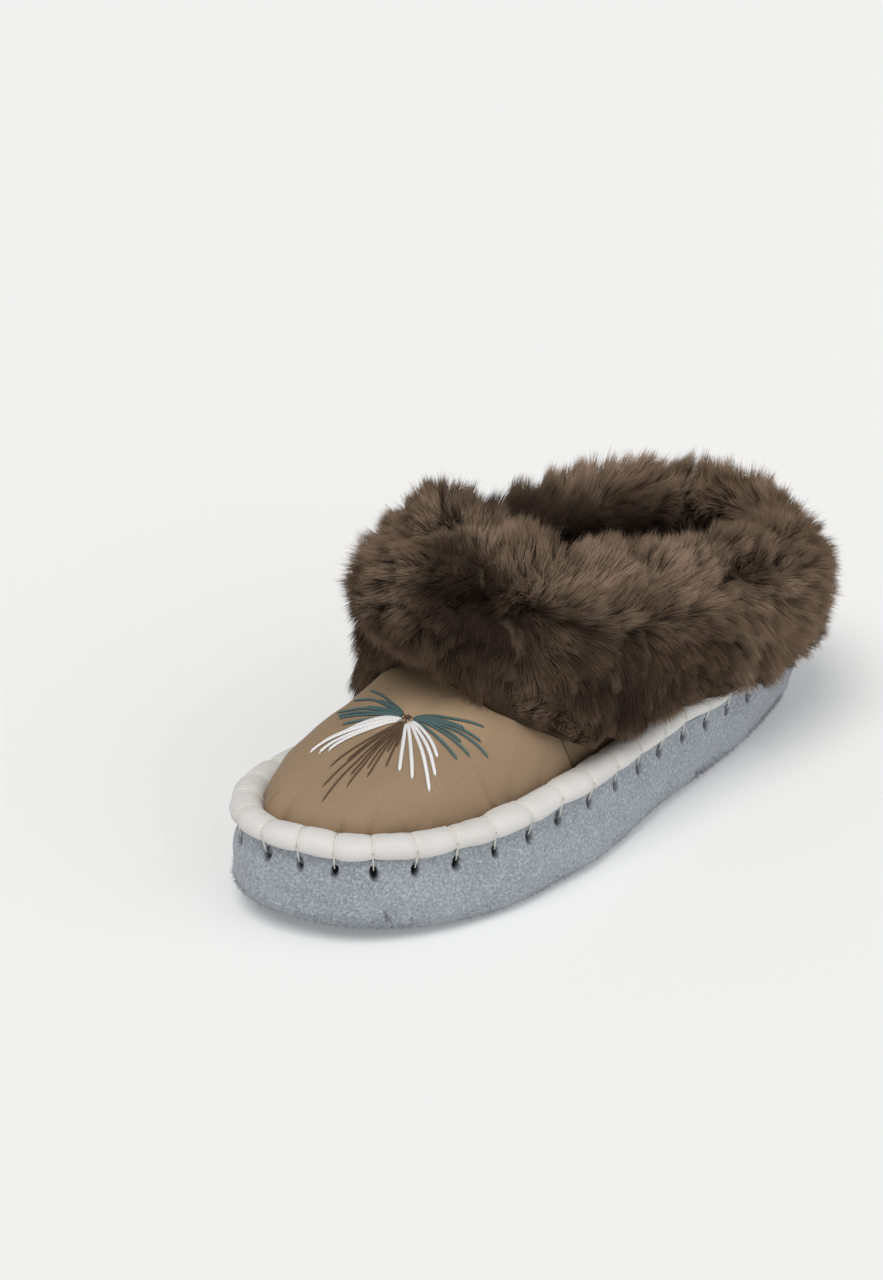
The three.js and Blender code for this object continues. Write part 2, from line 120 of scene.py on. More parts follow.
# The fur round the shoe: how far out and how high its hem hangs, in widths and heights of the roll;
# then the places of its side, its crest and its inner brim, in reaches and heights of the cuff
CUFF = {
    "round": (0, 0.06, 0.115, 0.19, 0.275, 0.37, 0.45, 0.5, 0.55, 0.63, 0.73, 0.81, 0.87, 0.94),
    "over": (0.25, 0.25, 1, 0.75, 0.95, 1.15, 1.2, 1.2, 1.2, 1.18, 1.05, 0.75, 0.3, 0.25),
    "hang": (3.1, 3.1, 1.8, 1.5, 1.15, 0.6, 0, -0.1, -0.15, 0.3, 1, 1.5, 2.9, 3.1),
    "reach": (1.85, 1.53, 1.12, 0.7, 0.62, 0.64, 0.74, 0.84, 0.84, 0.7, 0.66, 0.74, 0.92, 1.42),
    "belly": (0.44, 0.44, 0.31, 0.26, 0.16, 0.1, 0.04, 0, 0, 0.04, 0.1, 0.2, 0.32, 0.42),
    "crest": (0.83, 0.67, 0.36, 0.18, 0.1, 0.06, 0.08, 0.15, 0.12, 0.1, 0.1, 0.2, 0.36, 0.67),
    "top": (0.92, 0.85, 0.73, 0.63, 0.58, 0.48, 0.36, 0.31, 0.31, 0.37, 0.49, 0.61, 0.69, 0.83),
    "inner": (-0.2, -0.22, -0.26, -0.34, -0.36, -0.34, -0.3, -0.3, -0.3, -0.36, -0.4, -0.36,
              -0.28, -0.22),
    "brim": (0.5, 0.5, 0.5, 0.46, 0.4, 0.3, 0.2, 0.15, 0.17, 0.24, 0.32, 0.44, 0.48, 0.5),
}

# How far the maker's stitches drift from an even spacing, in shares of the pitch
DRIFT = {
    "round": (0.0, 0.1, 0.3, 0.5, 0.64, 0.75, 0.85, 0.93),
    "shift": (0.15, 0.1, 0.0, 0.1, 0.13, 0.1, 0.36, 0.47),
}

# Valleys pressed into the fur, and swells raised on it where the depth is below 0: the two ends of
# each, how deep it is and how wide
FUR_VALLEYS = (
    {"start": (10, -68, 100), "end": (51, -4, 70), "depth": 9, "width": 9},
    {"start": (51, -4, 70), "end": (50, 30, 62), "depth": 4, "width": 9},
    {"start": (-24, -62, 90), "end": (-50, 10, 66), "depth": 5, "width": 9},
    {"start": (-30, -62, 76), "end": (-44, -46, 44), "depth": -7.5, "width": 17},
    {"start": (-26, 8, 101), "end": (-28, 32, 97), "depth": 6, "width": 14},
    {"start": (-8, -34, 117), "end": (8, -24, 110), "depth": -6.5, "width": 12},
    {"start": (25, 4, 98), "end": (31, 62, 84), "depth": -4.5, "width": 13},
    {"start": (-44, -54, 44), "end": (-50, -34, 42), "depth": -6, "width": 11},
    {"start": (-36, -60, 62), "end": (-45, -52, 50), "depth": -5, "width": 11},
)

# How far the lowest hair hangs below the hem of the solid or, below 0, stays above it
FUR_EDGE = {
    "round": (0.0, 0.05, 0.1, 0.15, 0.22, 0.5, 0.76, 0.8, 0.83, 0.865, 0.9, 0.94, 0.97),
    "drop": (-1.0, 2.0, 7.5, 8.0, 3.0, 0.5, -1.5, -5.0, -8.0, -4.0, 3.0, 4.5, 0.5),
}

# Stretches of the fur with painted light where the tone is above 0, and painted shade below it: the
# two ends, how wide, and how much lighter
FUR_PAINTED_LIGHT_AND_SHADE = (
    {"start": (4, -58, 110), "end": (24, -58, 92), "width": 20, "tone": -0.44},
    {"start": (20, -62, 78), "end": (46, -26, 66), "width": 17, "tone": -0.27},
    {"start": (46, -20, 58), "end": (56, 40, 50), "width": 16, "tone": -0.34},
    {"start": (26, -22, 103), "end": (40, 50, 84), "width": 17, "tone": 0.36},
    {"start": (-8, -56, 120), "end": (2, -44, 122), "width": 18, "tone": 0.36},
    {"start": (-30, 30, 92), "end": (-20, 80, 88), "width": 14, "tone": 0.3},
    {"start": (0, 10, 62), "end": (0, 70, 54), "width": 30, "tone": -0.5},
    {"start": (-20, -8, 90), "end": (-14, 68, 78), "width": 15, "tone": -0.6},
    {"start": (6, -52, 111), "end": (16, -50, 103), "width": 9, "tone": -0.35},
)

# Small folds of the vamp at the roll: the share round, how far the ridge slants over its reach, and
# how high, wide and long it is
VAMP_FOLDS = (
    {"round": 0.852, "slant": 9, "height": 1.3, "width": 1.5, "reach": 13},
    {"round": 0.03, "slant": -5, "height": 0.9, "width": 1.3, "reach": 8},
    {"round": 0.055, "slant": -6, "height": 1.1, "width": 1.4, "reach": 8},
    {"round": 0.15, "slant": 7, "height": 1.0, "width": 1.8, "reach": 12},
    {"round": 0.91, "slant": -4, "height": 0.6, "width": 1.8, "reach": 10},
)

# The fan of straight stitches on the vamp, from its knot: each stitch's direction in degrees from
# the toe towards the lateral side, its length and the sideways bow of its middle; then the three
# stitches over the knot, by their directions, and half their length
FAN_KNOT = (1.0, -68.6)
KNOT_TURNS, KNOT_HALF = (20, 75, 130), 1.8
FANS = {
    "teal medial": {
        "thread": "teal", "width": 1.2,
        "direction": (-105, -99, -89, -80, -70, -64, -59, -48),
        "length": (25, 16, 25.2, 17, 26.2, 24.5, 23.6, 21.7),
        "bow": (-0.8, -0.8, -2.0, -1.5, -2.4, -2.0, -1.8, -1.6),
    },
    "teal lateral": {
        "thread": "teal", "width": 1.2,
        "direction": (120, 113, 107, 101, 97, 92, 83),
        "length": (26.1, 20, 27.1, 31.4, 22, 27.3, 25.5),
        "bow": (1.2, 1.0, 1.4, 1.6, 1.2, 1.0, 0.6),
    },
    "white medial": {
        "thread": "white", "width": 1.35,
        "direction": (-41, -37, -32, -29, -26, -22, -20),
        "length": (18, 20.5, 24, 30, 34.2, 31.8, 28.8),
        "bow": (-2.4, -2.4, -2.6, -3.0, -3.2, -2.8, -2.4),
    },
    "white lateral": {
        "thread": "white", "width": 1.35,
        "direction": (38, 47, 57, 63, 70),
        "length": (24.7, 27.1, 31, 27.3, 21.9),
        "bow": (0, 0.4, 0.8, 1.2, 1.4),
    },
    "brown": {
        "thread": "brown", "width": 0.72,
        "direction": (-9, -5.5, -2, 3, 6, 9, 12.5, 16, 21, 26, 30),
        "length": (31.6, 26, 38.4, 42.3, 30, 34.4, 25, 28.2, 17, 22.9, 14),
        "bow": (-1.2, -0.8, -1.0, -0.8, -0.5, -0.4, 0, 0.2, 0.2, 0.2, 0),
    },
}

# Width of a stitch's thread at its ends, as a share of its middle; how flat it lies on the vamp; the
# share of its colour that is left as painted shade in the hollows of its ply; and the length of one
# turn of the ply
THREAD_END, THREAD_FLAT = 0.72, 0.62
PLY_SHADES = {"teal": 0.72, "white": 0.86, "brown": 0.7}
PLY_LENGTH = 1.1

# The awl holes: how deep a hole is, and how deep, wide and high the dimple round it is; then the
# place of a stray prick in the suede near the toe, and how dark its painted shade is
HOLE_DEPTH = 2.6
DIMPLE_DEPTH, DIMPLE_WIDTH, DIMPLE_HEIGHT = 0.55, 2.6, 3.2
STRAY_MARK, STRAY_SHADE = (30.8, -109.2, 10.2), 0.9

# Width of the tuck that a stitch draws into the roll, and of the slope on both sides of it
TUCK_WIDTH, SLOPE_WIDTH = 0.55, 1.9

# How far from its stitch each column of a piece stands, in millimetres, and how fine pieces are
WALL_COLUMNS = (0, 0.45, 0.9, 1.35, 2, 3.4, 5)
ROLL_COLUMNS, ROLL_POINTS = (0, 0.35, 0.75, 1.3, 2, 3, 4.1, 5.3), 26
UPPER_COLUMNS, UPPER_ROWS = (0, 0.8, 1.7, 2.7, 3.9, 5.2), 38
CUFF_COLUMNS, CUFF_ROWS = 264, 44
FOOTBED_COLUMNS = 368
FOOTBED_ROWS = (0, 0.04, 0.1, 0.18, 0.28, 0.38, 0.48, 0.58, 0.68, 0.78, 0.88, 0.96)
NAP_FIBRES, FOOTBED_CURLS = 5200, 8000

# The fur's hair, in millimetres: how far a tip leans with its lock, with its curl and alone, how far
# it rises with each, how much higher the middle of a lock and of a curl is and how far all of it
# sinks; then the share of the way that a tip is drawn to the middle of its lock
LOCK_LEAN, CURL_LEAN, LONE_LEAN = 0.8, 0.5, 0.8
LOCK_PEAK, CURL_PEAK, LONE_PEAK = 1.1, 0.8, 0.8
LOCK_DOME, CURL_DOME, SINK = 1.6, 0.9, 1.0
LOCK_PULL = 0.22

# The quarters that the hair is made in: the shares round where each begins and ends
QUARTERS = {"front": (-0.125, 0.125), "medial": (0.125, 0.375), "heel": (0.375, 0.625),
            "lateral": (0.625, 0.875)}

# How the tips are combed on each side of the fur, in millimetres along the shoe's axes
COMB = {
    "outside": (0, 3.2, -3.2), "inside": (0, 1.0, -2.0), "crest": (0, 2.6, 1.0),
    "far rim": (0, 0, 3.2), "front": (0, 0, -1.0), "under front": (0, 0, -1.6),
}

# The ground under the fur and the footbed are coloured as their hair is this share of the way up,
# so they are dark partly as painted shade deep in the pile
FOOT_TIP, FOOTBED_TIP = 0.3, 0.35

# The stage: half the floor's width in metres, and each light's way, width in degrees and colour
FLOOR_HALF = 6.0
SKY_COLOUR = (0.97, 0.985, 1.0)
SUNS = {
    "key": {"way": (0.1, -0.42, 1.0), "width": 38, "colour": (1.0, 0.985, 0.965)},
    "fill": {"way": (1.0, 0.15, 0.4), "width": 80, "colour": (1.0, 1.0, 1.0)},
}

# The photograph's camera: its angles in degrees, its lens and sensor, and the point that it looks at
AZIMUTH, ELEVATION, CAMERA_ROLL = 43.8, 27.1, -0.67
LENS, SENSOR = 76.2, 36
TARGET = (-102.64, 55.93, 0)


# Reading the tables


def around(table, share, key):
    """Smooth value of a table's column at shares of the way round, through its rows."""
    n = len(table["round"])
    turn = np.arange(-2, n + 3)
    place = np.array(table["round"])[turn % n] + turn // n
    value = np.array(table[key], float)[turn % n]
    slope = np.zeros_like(value)
    slope[1:-1] = (value[2:] - value[:-2]) / (place[2:] - place[:-2])
    share = np.asarray(share, float) % 1
    share = np.where(share < place[2], share + 1, share)
    i = np.searchsorted(place, share, side="right") - 1
    span = place[i + 1] - place[i]
    f = (share - place[i]) / span
    blend = f * f * (3 - 2 * f)
    ease = span * f * (1 - f) * ((1 - f) * slope[i] - f * slope[i + 1])
    return value[i] + (value[i + 1] - value[i]) * blend + ease


def spans(points, closed, fine):
    """Points along a smooth curve through the given ones, fine steps to a span."""
    points = np.asarray(points, float)
    n = len(points)
    if not closed:
        before, after = 2 * points[0] - points[1], 2 * points[-1] - points[-2]
        points = np.vstack([points, after, before])
    t = np.linspace(0, 1, fine, endpoint=False)[:, None]
    out = []
    for i in range(n if closed else n - 1):
        a, b, c, d = (points[(i + j) % len(points)] for j in (-1, 0, 1, 2))
        g, h, k = (max(float(np.linalg.norm(v)) ** 0.5, 1e-4) for v in (b - a, c - b, d - c))
        start = ((b - a) / g - (c - a) / (g + h) + (c - b) / h) * h
        stop = ((c - b) / h - (d - b) / (h + k) + (d - c) / k) * h
        out.append(b + start * t + (3 * (c - b) - 2 * start - stop) * t**2
                   + (2 * (b - c) + start + stop) * t**3)
    if not closed:
        out.append(points[n - 1][None])
    return np.vstack(out)


def distances(line):
    """How far each point of a line lies from the line's start, along it."""
    return np.concatenate([[0], np.cumsum(np.linalg.norm(np.diff(line, axis=0), axis=1))])


def evenly(line, count):
    """Points at even distances along a line."""
    place = distances(line)
    want = np.linspace(0, place[-1], count)
    return np.stack([np.interp(want, place, axis) for axis in line.T], -1)


class Loop:
    """A closed smooth curve in plan, read by shares of its length."""

    def __init__(self, points):
        line = spans(points, True, 96)
        line = np.vstack([line, line[:1]])
        steps = np.linalg.norm(np.diff(line, axis=0), axis=1)
        self.line = line
        self.length = steps.sum()
        self.share = np.concatenate([[0], np.cumsum(steps)]) / self.length

    def at(self, share):
        """Points of the curve."""
        share = np.asarray(share, float) % 1
        return np.stack([np.interp(share, self.share, axis) for axis in self.line.T], -1)

    def outward(self, share):
        """Outward normals of the curve, which runs clockwise seen from above."""
        along = self.at(np.asarray(share) + 0.002) - self.at(np.asarray(share) - 0.002)
        out = np.stack([-along[..., 1], along[..., 0]], -1)
        return out / np.linalg.norm(out, axis=-1, keepdims=True)


outline = Loop(np.stack([np.array(OUTLINE["across"]) * BALL_WIDTH,
                         np.array(OUTLINE["along"]) * SOLE_LENGTH], -1))
COLLAR_FRONT = COLLAR_FRONT_SETBACK - SOLE_LENGTH / 2
COLLAR_LENGTH = SOLE_LENGTH - COLLAR_FRONT_SETBACK - COLLAR_BACK_SETBACK
collar = Loop(np.stack([np.array(COLLAR["across"]) * COLLAR_WIDTH,
                        COLLAR_FRONT + np.array(COLLAR["along"]) * COLLAR_LENGTH], -1))
PITCH = outline.length / STITCHES


def spring(y):
    """How far toe and heel rise from the floor."""
    ball, heel = -0.215 * SOLE_LENGTH, 0.273 * SOLE_LENGTH
    toe = TOE_SPRING * (np.clip(ball - y, 0, None) / (ball + SOLE_LENGTH / 2)) ** 2
    return toe + HEEL_SPRING * (np.clip(y - heel, 0, None) / (SOLE_LENGTH / 2 - heel)) ** 2


def lift(y):
    """Height of the underside over the floor, with the arch."""
    front, back = -0.1 * SOLE_LENGTH, 0.2 * SOLE_LENGTH
    arch = np.sin(np.pi * np.clip((y - front) / (back - front), 0, 1)) ** 2
    return spring(y) + ARCH_RISE * arch


def wall_top(y):
    """Height of the wall's top edge over the floor."""
    stations = np.array([-0.5, -0.156, 0.08, 0.5]) * SOLE_LENGTH
    return np.interp(y, stations, [TOE_WALL, BALL_WALL, WAIST_WALL, HEEL_WALL]) + spring(y)


def collar_height(y):
    """Height of the collar's edge, which rises towards its front and its back."""
    along = (y - COLLAR_FRONT) / COLLAR_LENGTH
    front = np.clip(1 - along / 0.3, 0, None) ** 2
    back = np.clip(1 - (1 - along) / 0.4, 0, None) ** 2
    rise = (INSTEP_HEIGHT - SIDE_HEIGHT) * front + (BACK_HEIGHT - SIDE_HEIGHT) * back
    return SIDE_HEIGHT + rise


class Columns:
    """Places on the outline and on the collar, with their normals, at shares of the way round."""

    def __init__(self, share):
        self.share = np.asarray(share, float) % 1
        on_outline = self.share - TIP_LEAD
        on_collar = self.share - COLLAR_GATHER * np.sin(2 * np.pi * self.share) / (2 * np.pi)
        self.base = outline.at(on_outline)
        self.base_out = outline.outward(on_outline)
        edge = collar.at(on_collar)
        self.edge = np.concatenate([edge, collar_height(edge[..., 1:])], -1)
        self.edge_out = collar.outward(on_collar)
        self.top = wall_top(self.base[..., 1])

    def inset(self, inset, height):
        """Points at an inset from the outline and a height over the wall's top."""
        plan = self.base - self.base_out * np.asarray(inset, float)[..., None]
        z = np.broadcast_to(self.top + height, plan.shape[:-1])
        return np.concatenate([plan, z[..., None]], -1)

    def rows(self):
        """The same columns, ready to take a row of values each."""
        wide = Columns.__new__(Columns)
        for key, value in vars(self).items():
            setattr(wide, key, value[:, None])
        return wide


def from_toe(share):
    """A share round counted both ways from the toe, from -0.5 to 0.5."""
    return (share + 0.5) % 1 - 0.5


def level(plan):
    """Vectors in plan as level vectors in space."""
    return np.concatenate([plan, np.zeros((len(plan), 1))], 1)


def stitch_share(number, away=0.0):
    """Share round of a stitch, or of a place some millimetres away from it."""
    number = np.asarray(number, float)
    return (number + around(DRIFT, number / STITCHES, "shift") + away / PITCH) / STITCHES


def stitch_columns(offsets):
    """Shares of columns that gather at each stitch, and each column's distance to its stitch."""
    offsets = np.array(offsets, float)
    offsets = np.concatenate([-offsets[offsets > 0][::-1], offsets])
    number = np.repeat(np.arange(STITCHES), len(offsets))
    share = stitch_share(number, np.tile(offsets, STITCHES)).reshape(STITCHES, -1)
    after = np.concatenate([share[1:], share[:1] + 1])
    last = (share[:, -1] + after[:, 0]) / 2
    share = np.concatenate([share, last[:, None]], 1)
    away = (share - stitch_share(np.arange(STITCHES))[:, None]) * STITCHES * PITCH
    number = np.repeat(np.arange(STITCHES), share.shape[1])
    return share.ravel() % 1, away.ravel(), number


def bump(x, width):
    """A soft bell, 1 at 0."""
    return np.exp(-((np.asarray(x) / width) ** 2))


def step(x, low, high):
    """From 0 at low to 1 at high, softly."""
    f = np.clip((np.asarray(x, float) - low) / (high - low), 0, 1)
    return f * f * (3 - 2 * f)


def wander(points, size, seed, channels=1):
    """Soft noise of about -1 to 1 with lumps of about the given size in millimetres."""
    rng = np.random.default_rng(seed)
    points = np.asarray(points, float)
    out = np.zeros(points.shape[:-1] + (channels,))
    waves = 9
    for _ in range(waves):
        way = rng.normal(size=(channels, 3))
        way /= np.linalg.norm(way, axis=1, keepdims=True)
        way *= 2 * np.pi / size * rng.uniform(0.45, 1.1)
        out += np.sin(points @ way.T + rng.uniform(0, 2 * np.pi, channels))
    out *= 1.3 / math.sqrt(waves)
    return out[..., 0] if channels == 1 else out


def unit(vectors):
    """Vectors of length 1."""
    size = np.linalg.norm(vectors, axis=-1, keepdims=True)
    return vectors / np.maximum(size, 1e-9)


def grid_normals(grid):
    """Normals of a grid of columns, closed round, and rows, pointing away from the foot."""
    across = np.roll(grid, -1, 0) - np.roll(grid, 1, 0)
    up = np.gradient(grid, axis=1)
    return unit(np.cross(up, across))


def quads(columns, rows, closed_rows=False):
    """Faces of a grid of points, closed round its columns."""
    c = np.arange(columns)[:, None]
    r = np.arange(rows if closed_rows else rows - 1)[None]
    d, s = (c + 1) % columns, (r + 1) % rows
    ring = [c * rows + r, c * rows + s, d * rows + s, d * rows + r]
    return np.stack([np.broadcast_to(v, (columns, r.size)) for v in ring], -1).reshape(-1, 4)


def rungs(ring):
    """Faces that close a ring of an even number of points, laid across the shoe."""
    n = len(ring)
    faces = [(ring[0], ring[1], ring[n - 1])]
    faces += [(ring[k], ring[k + 1], ring[n - k - 1], ring[n - k]) for k in range(1, n // 2 - 1)]
    return faces + [(ring[n // 2 - 1], ring[n // 2], ring[n // 2 + 1])]


def closed_quads(columns, rows):
    """Faces of a grid whose first and last rows are closed across the shoe."""
    ring = np.arange(columns) * rows
    last = rungs((ring + rows - 1).tolist())
    return quads(columns, rows).tolist() + rungs(ring.tolist()) + [face[::-1] for face in last]


def sole_middle():
    """Middle of the raw sole's box in plan."""
    cols = Columns(np.arange(2 * STITCHES) / (2 * STITCHES))
    flare = np.clip(SOLE_FLARE * around(FLARE, cols.share, "flare"), 0, None)
    wall = cols.base + cols.base_out * flare[:, None]
    return (wall.min(0) + wall.max(0)) / 2


SOLE_LOW, SOLE_HIGH = (np.array(corner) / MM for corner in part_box("outsole"))
TO_FRAME = np.append((SOLE_LOW + SOLE_HIGH)[:2] / 2 - sole_middle(), 0)


def tube(path, radius, sides, flat=1.0):
    """A closed tube of rings along a path, with a point at each end: points, faces and twist."""
    path = np.asarray(path, float)
    along = unit(np.gradient(path, axis=0))
    side = unit(np.cross(along, (0, 0, 1)))
    up = np.cross(side, along)
    turn = np.arange(sides) / sides * 2 * np.pi
    wide = np.asarray(radius, float) * np.ones(len(path))
    ring = (np.cos(turn)[:, None] * side[1:-1, None] + flat * np.sin(turn)[:, None] * up[1:-1, None])
    ring = path[1:-1, None] + wide[1:-1, None, None] * ring
    count = len(path) - 2
    points = np.vstack([ring.reshape(-1, 3), path[:1], path[-1:]])
    faces = []
    for i in range(count - 1):
        for k in range(sides):
            n = (k + 1) % sides
            faces.append((i * sides + k, i * sides + n, (i + 1) * sides + n, (i + 1) * sides + k))
    last = (count - 1) * sides
    first_tip, last_tip = count * sides, count * sides + 1
    for k in range(sides):
        n = (k + 1) % sides
        faces.append((first_tip, n, k))
        faces.append((last_tip, last + k, last + n))
    turns = distances(path) / PLY_LENGTH
    twist = np.concatenate([(turns[1:-1, None] + np.arange(sides) / sides).ravel(), turns[[0, -1]]])
    return points, faces, twist


class Joined:
    """Many threads joined as one mesh."""

    def __init__(self):
        self.points, self.faces, self.values, self.count = [], [], [], 0

    def add(self, points, faces, values):
        """Adds one thread with a value for each of its points."""
        self.points.append(points)
        self.faces += [tuple(v + self.count for v in face) for face in faces]
        self.values.append(values)
        self.count += len(points)

    def make(self, name, finish, slot):
        """The threads as one piece that holds how far each point is round its ply."""
        make_piece(name, np.vstack(self.points), self.faces, finish,
                   {"twist": np.concatenate(self.values)})


def place_object(name, data):
    """A new object of the scene."""
    made = bpy.data.objects.new(name, data)
    bpy.context.scene.collection.objects.link(made)
    return made


def make_piece(name, points, faces, finish, values, normals=None):
    """A mesh object in the frame, in metres, that rides with the shoe."""
    mesh = bpy.data.meshes.new(name)
    places = (np.asarray(points, float) + TO_FRAME) * MM
    faces = faces.tolist() if isinstance(faces, np.ndarray) else faces
    mesh.from_pydata(places.tolist(), [], faces)
    mesh.polygons.foreach_set("use_smooth", np.ones(len(mesh.polygons), bool))
    for key, data in values.items():
        layer = mesh.attributes.new(key, "FLOAT", "POINT")
        layer.data.foreach_set("value", np.asarray(data, np.float32).ravel())
    mesh.update()
    if normals is not None:
        mesh.normals_split_custom_set_from_vertices(normals.tolist())
    mesh.materials.append(finish)
    obj = place_object(name, mesh)
    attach(obj, "root")
    return obj


# Finishes


class Wire:
    """An output of a node that takes part in sums: each operator adds a Math or Mix node."""

    def __init__(self, finish, socket):
        self.finish = finish
        self.socket = socket

    def _sum(self, operation, *terms):
        """The node of an operator, for numbers or for vectors."""
        inputs = dict(enumerate(terms))
        if any(isinstance(t, Wire) and t.socket.type in ("VECTOR", "RGBA") for t in terms):
            return self.finish.node("VectorMath", {"operation": operation}, inputs)
        return self.finish.node("Math", {"operation": operation}, inputs)

    def __add__(self, other):
        return self._sum("ADD", self, other)

    __radd__ = __add__

    def __rsub__(self, other):
        return self._sum("SUBTRACT", other, self)

    def __mul__(self, other):
        return self._sum("MULTIPLY", self, other)

    __rmul__ = __mul__


class Finish:
    """A procedural material whose nodes are made from expressions."""

    def __init__(self, name):
        self.material = bpy.data.materials.new(name)
        self.material.use_nodes = True
        self.tree = self.material.node_tree
        self.tree.nodes.clear()

    def node(self, kind, settings=None, inputs=None, output=0):
        """Adds a node: its settings first, then the values or links of its sockets."""
        made = self.tree.nodes.new("ShaderNode" + kind)
        for key, value in (settings or {}).items():
            setattr(made, key, value)
        for key, value in (inputs or {}).items():
            socket = made.inputs[key]
            if isinstance(value, Wire):
                self.tree.links.new(value.socket, socket)
            elif hasattr(socket.default_value, "__len__") and not hasattr(value, "__len__"):
                socket.default_value = [value] * len(socket.default_value)
            elif hasattr(value, "__len__") and len(socket.default_value) == 4:
                socket.default_value = (*value[:3], 1)
            else:
                socket.default_value = value
        return Wire(self, made.outputs[output]) if made.outputs else None

    def place(self, stretch=(1, 1, 1)):
        """The point on the object, in millimetres, stretched along the axes."""
        point = self.node("TexCoord", output="Object")
        return point * [s / MM for s in stretch]

    def noise(self, size, detail=3.0, rough=0.55, stretch=(1, 1, 1)):
        """Noise from 0 to 1 whose lumps are about size millimetres."""
        return self.node("TexNoise", None, {"Vector": self.place(stretch), "Scale": 1 / size,
                                            "Detail": detail, "Roughness": rough})

    def read(self, name):
        """A value that the mesh holds at its points."""
        return self.node("Attribute", {"attribute_name": name}, output="Fac")

    def ease(self, value, low, high, start=0.0, stop=1.0):
        """The value taken from low and high to start and stop, softly."""
        return self.node("MapRange", {"interpolation_type": "SMOOTHSTEP"},
                         {"Value": value, "From Min": low, "From Max": high, "To Min": start,
                          "To Max": stop})

    def mix(self, factor, first, second):
        """Colour between two, by a factor."""
        made = self.node("Mix", {"data_type": "RGBA", "clamp_factor": True},
                         {"Factor": factor}, output=2)
        node = made.socket.node
        for socket, value in ((node.inputs[6], first), (node.inputs[7], second)):
            if isinstance(value, Wire):
                self.tree.links.new(value.socket, socket)
            else:
                socket.default_value = (*value[:3], 1)
        return made

    def relief(self, height, strength, distance):
        """A bumped normal from a height; distance in millimetres."""
        inputs = {"Height": height, "Strength": strength, "Distance": distance * MM}
        return self.node("Bump", None, inputs)

    def surface(self, colour, roughness, normal=None, **sockets):
        """Closes the material with its shader; sockets are values that are even all over."""
        inputs = {"Base Color": colour, "Roughness": roughness}
        if normal is not None:
            inputs["Normal"] = normal
        inputs.update({key.replace("_", " "): value for key, value in sockets.items()})
        shader = self.node("BsdfPrincipled", None, inputs)
        self.node("OutputMaterial", None, {"Surface": shader})
        return self.material


def suede_finish(sole):
    """Napped suede: cloudy colour, fine speckle, painted shade in the awl holes, darker at the lower
    edge.
    """
    f = Finish("napped suede")
    clouds = f.noise(18, 3, 0.6)
    # Streaks of the brushed nap; no light is painted here.
    brushed = f.noise(6, 3, 0.6, (0.5, 0.5, 1.4))
    nap = f.noise(1.05, 2, 0.65)
    pits = f.noise(0.8, 2, 0.6)
    hole = f.read("hole")
    edge = f.read("edge")
    tone = 0.6 * f.ease(clouds, 0.3, 0.7) + 0.4 * f.ease(brushed, 0.35, 0.65)
    colour = f.mix(tone, sole.shade, sole.colour)
    colour = f.mix(f.ease(nap, 0.42, 0.7) * 0.75, colour, sole.speckle)
    colour = f.mix(f.ease(1 - pits, 0.44, 0.72) * 0.65, colour, sole.pit)
    # Darker towards the lower edge.
    colour = f.mix(edge * 0.35, colour, sole.shade)
    # Painted shade in the awl holes and the stray prick.
    colour = f.mix(hole, colour, sole.painted_hole_shade)
    normal = f.relief(nap + pits * 0.7, 0.9, 0.5)
    return f.surface(colour, 1.0, normal, Specular_IOR_Level=0.1, Sheen_Weight=0.15,
                     Sheen_Roughness=0.5)


def roll_finish(roll):
    """Smooth white leather: faint pores, painted shade in the tucks and under the roll."""
    f = Finish("white leather")
    pores = f.noise(0.7, 2, 0.5)
    soft = f.noise(9, 3, 0.55)
    tuck = f.read("tuck")
    colour = f.mix(f.ease(soft, 0.35, 0.7) * 0.5, roll.colour, roll.shade)
    # Painted shade in the tucks and under the roll.
    colour = f.mix(tuck * 0.4, colour, roll.painted_tuck_shade)
    wrinkle = f.noise(2.6, 2, 0.5)
    normal = f.relief(pores * 0.25 + wrinkle, 0.35, 0.35)
    rough = f.ease(pores, 0.3, 0.7, 0.5, 0.62)
    return f.surface(colour, rough, normal, Specular_IOR_Level=0.35)


def nubuck_finish(upper):
    """Tan nubuck: mottled, fine grain, painted light by the fur, painted shade in the folds, dark
    seams.
    """
    f = Finish("tan nubuck")
    mottle = f.noise(11, 4, 0.6)
    cloud = f.noise(34, 2, 0.5)
    grain = f.noise(0.5, 2, 0.6)
    specks = f.noise(1.6, 1, 0.5)
    dark = f.read("dark")
    tone = 0.4 * f.ease(mottle, 0.25, 0.75) + 0.6 * f.ease(cloud, 0.3, 0.7)
    colour = f.mix(tone, upper.shade, upper.colour)
    colour = f.mix(f.ease(specks, 0.66, 0.76) * 0.22, colour, upper.speck)
    colour = f.mix(f.ease(grain, 0.5, 0.75) * 0.12, colour, upper.shade)
    # Painted light by the fur's border, against the shade of the fur's overhang.
    colour = f.mix(f.read("brushed"), colour, upper.brushed)
    # Painted shade in the folds, the creases, beyond the seams and inside; then the dark seam lines.
    colour = f.mix(dark, colour, upper.painted_shade_and_seam_colour)
    seam = f.node("Math", {"operation": "ABSOLUTE"}, {0: f.read("seam")})
    colour = f.mix(f.ease(seam, 0.35, 0.9, 0.95, 0.0), colour, upper.painted_shade_and_seam_colour)
    normal = f.relief(grain + mottle * 1.5, 0.35, 0.3)
    rough = f.ease(mottle, 0.3, 0.7, 0.62, 0.78)
    return f.surface(colour, rough, normal, Specular_IOR_Level=0.3, Sheen_Weight=0.08)


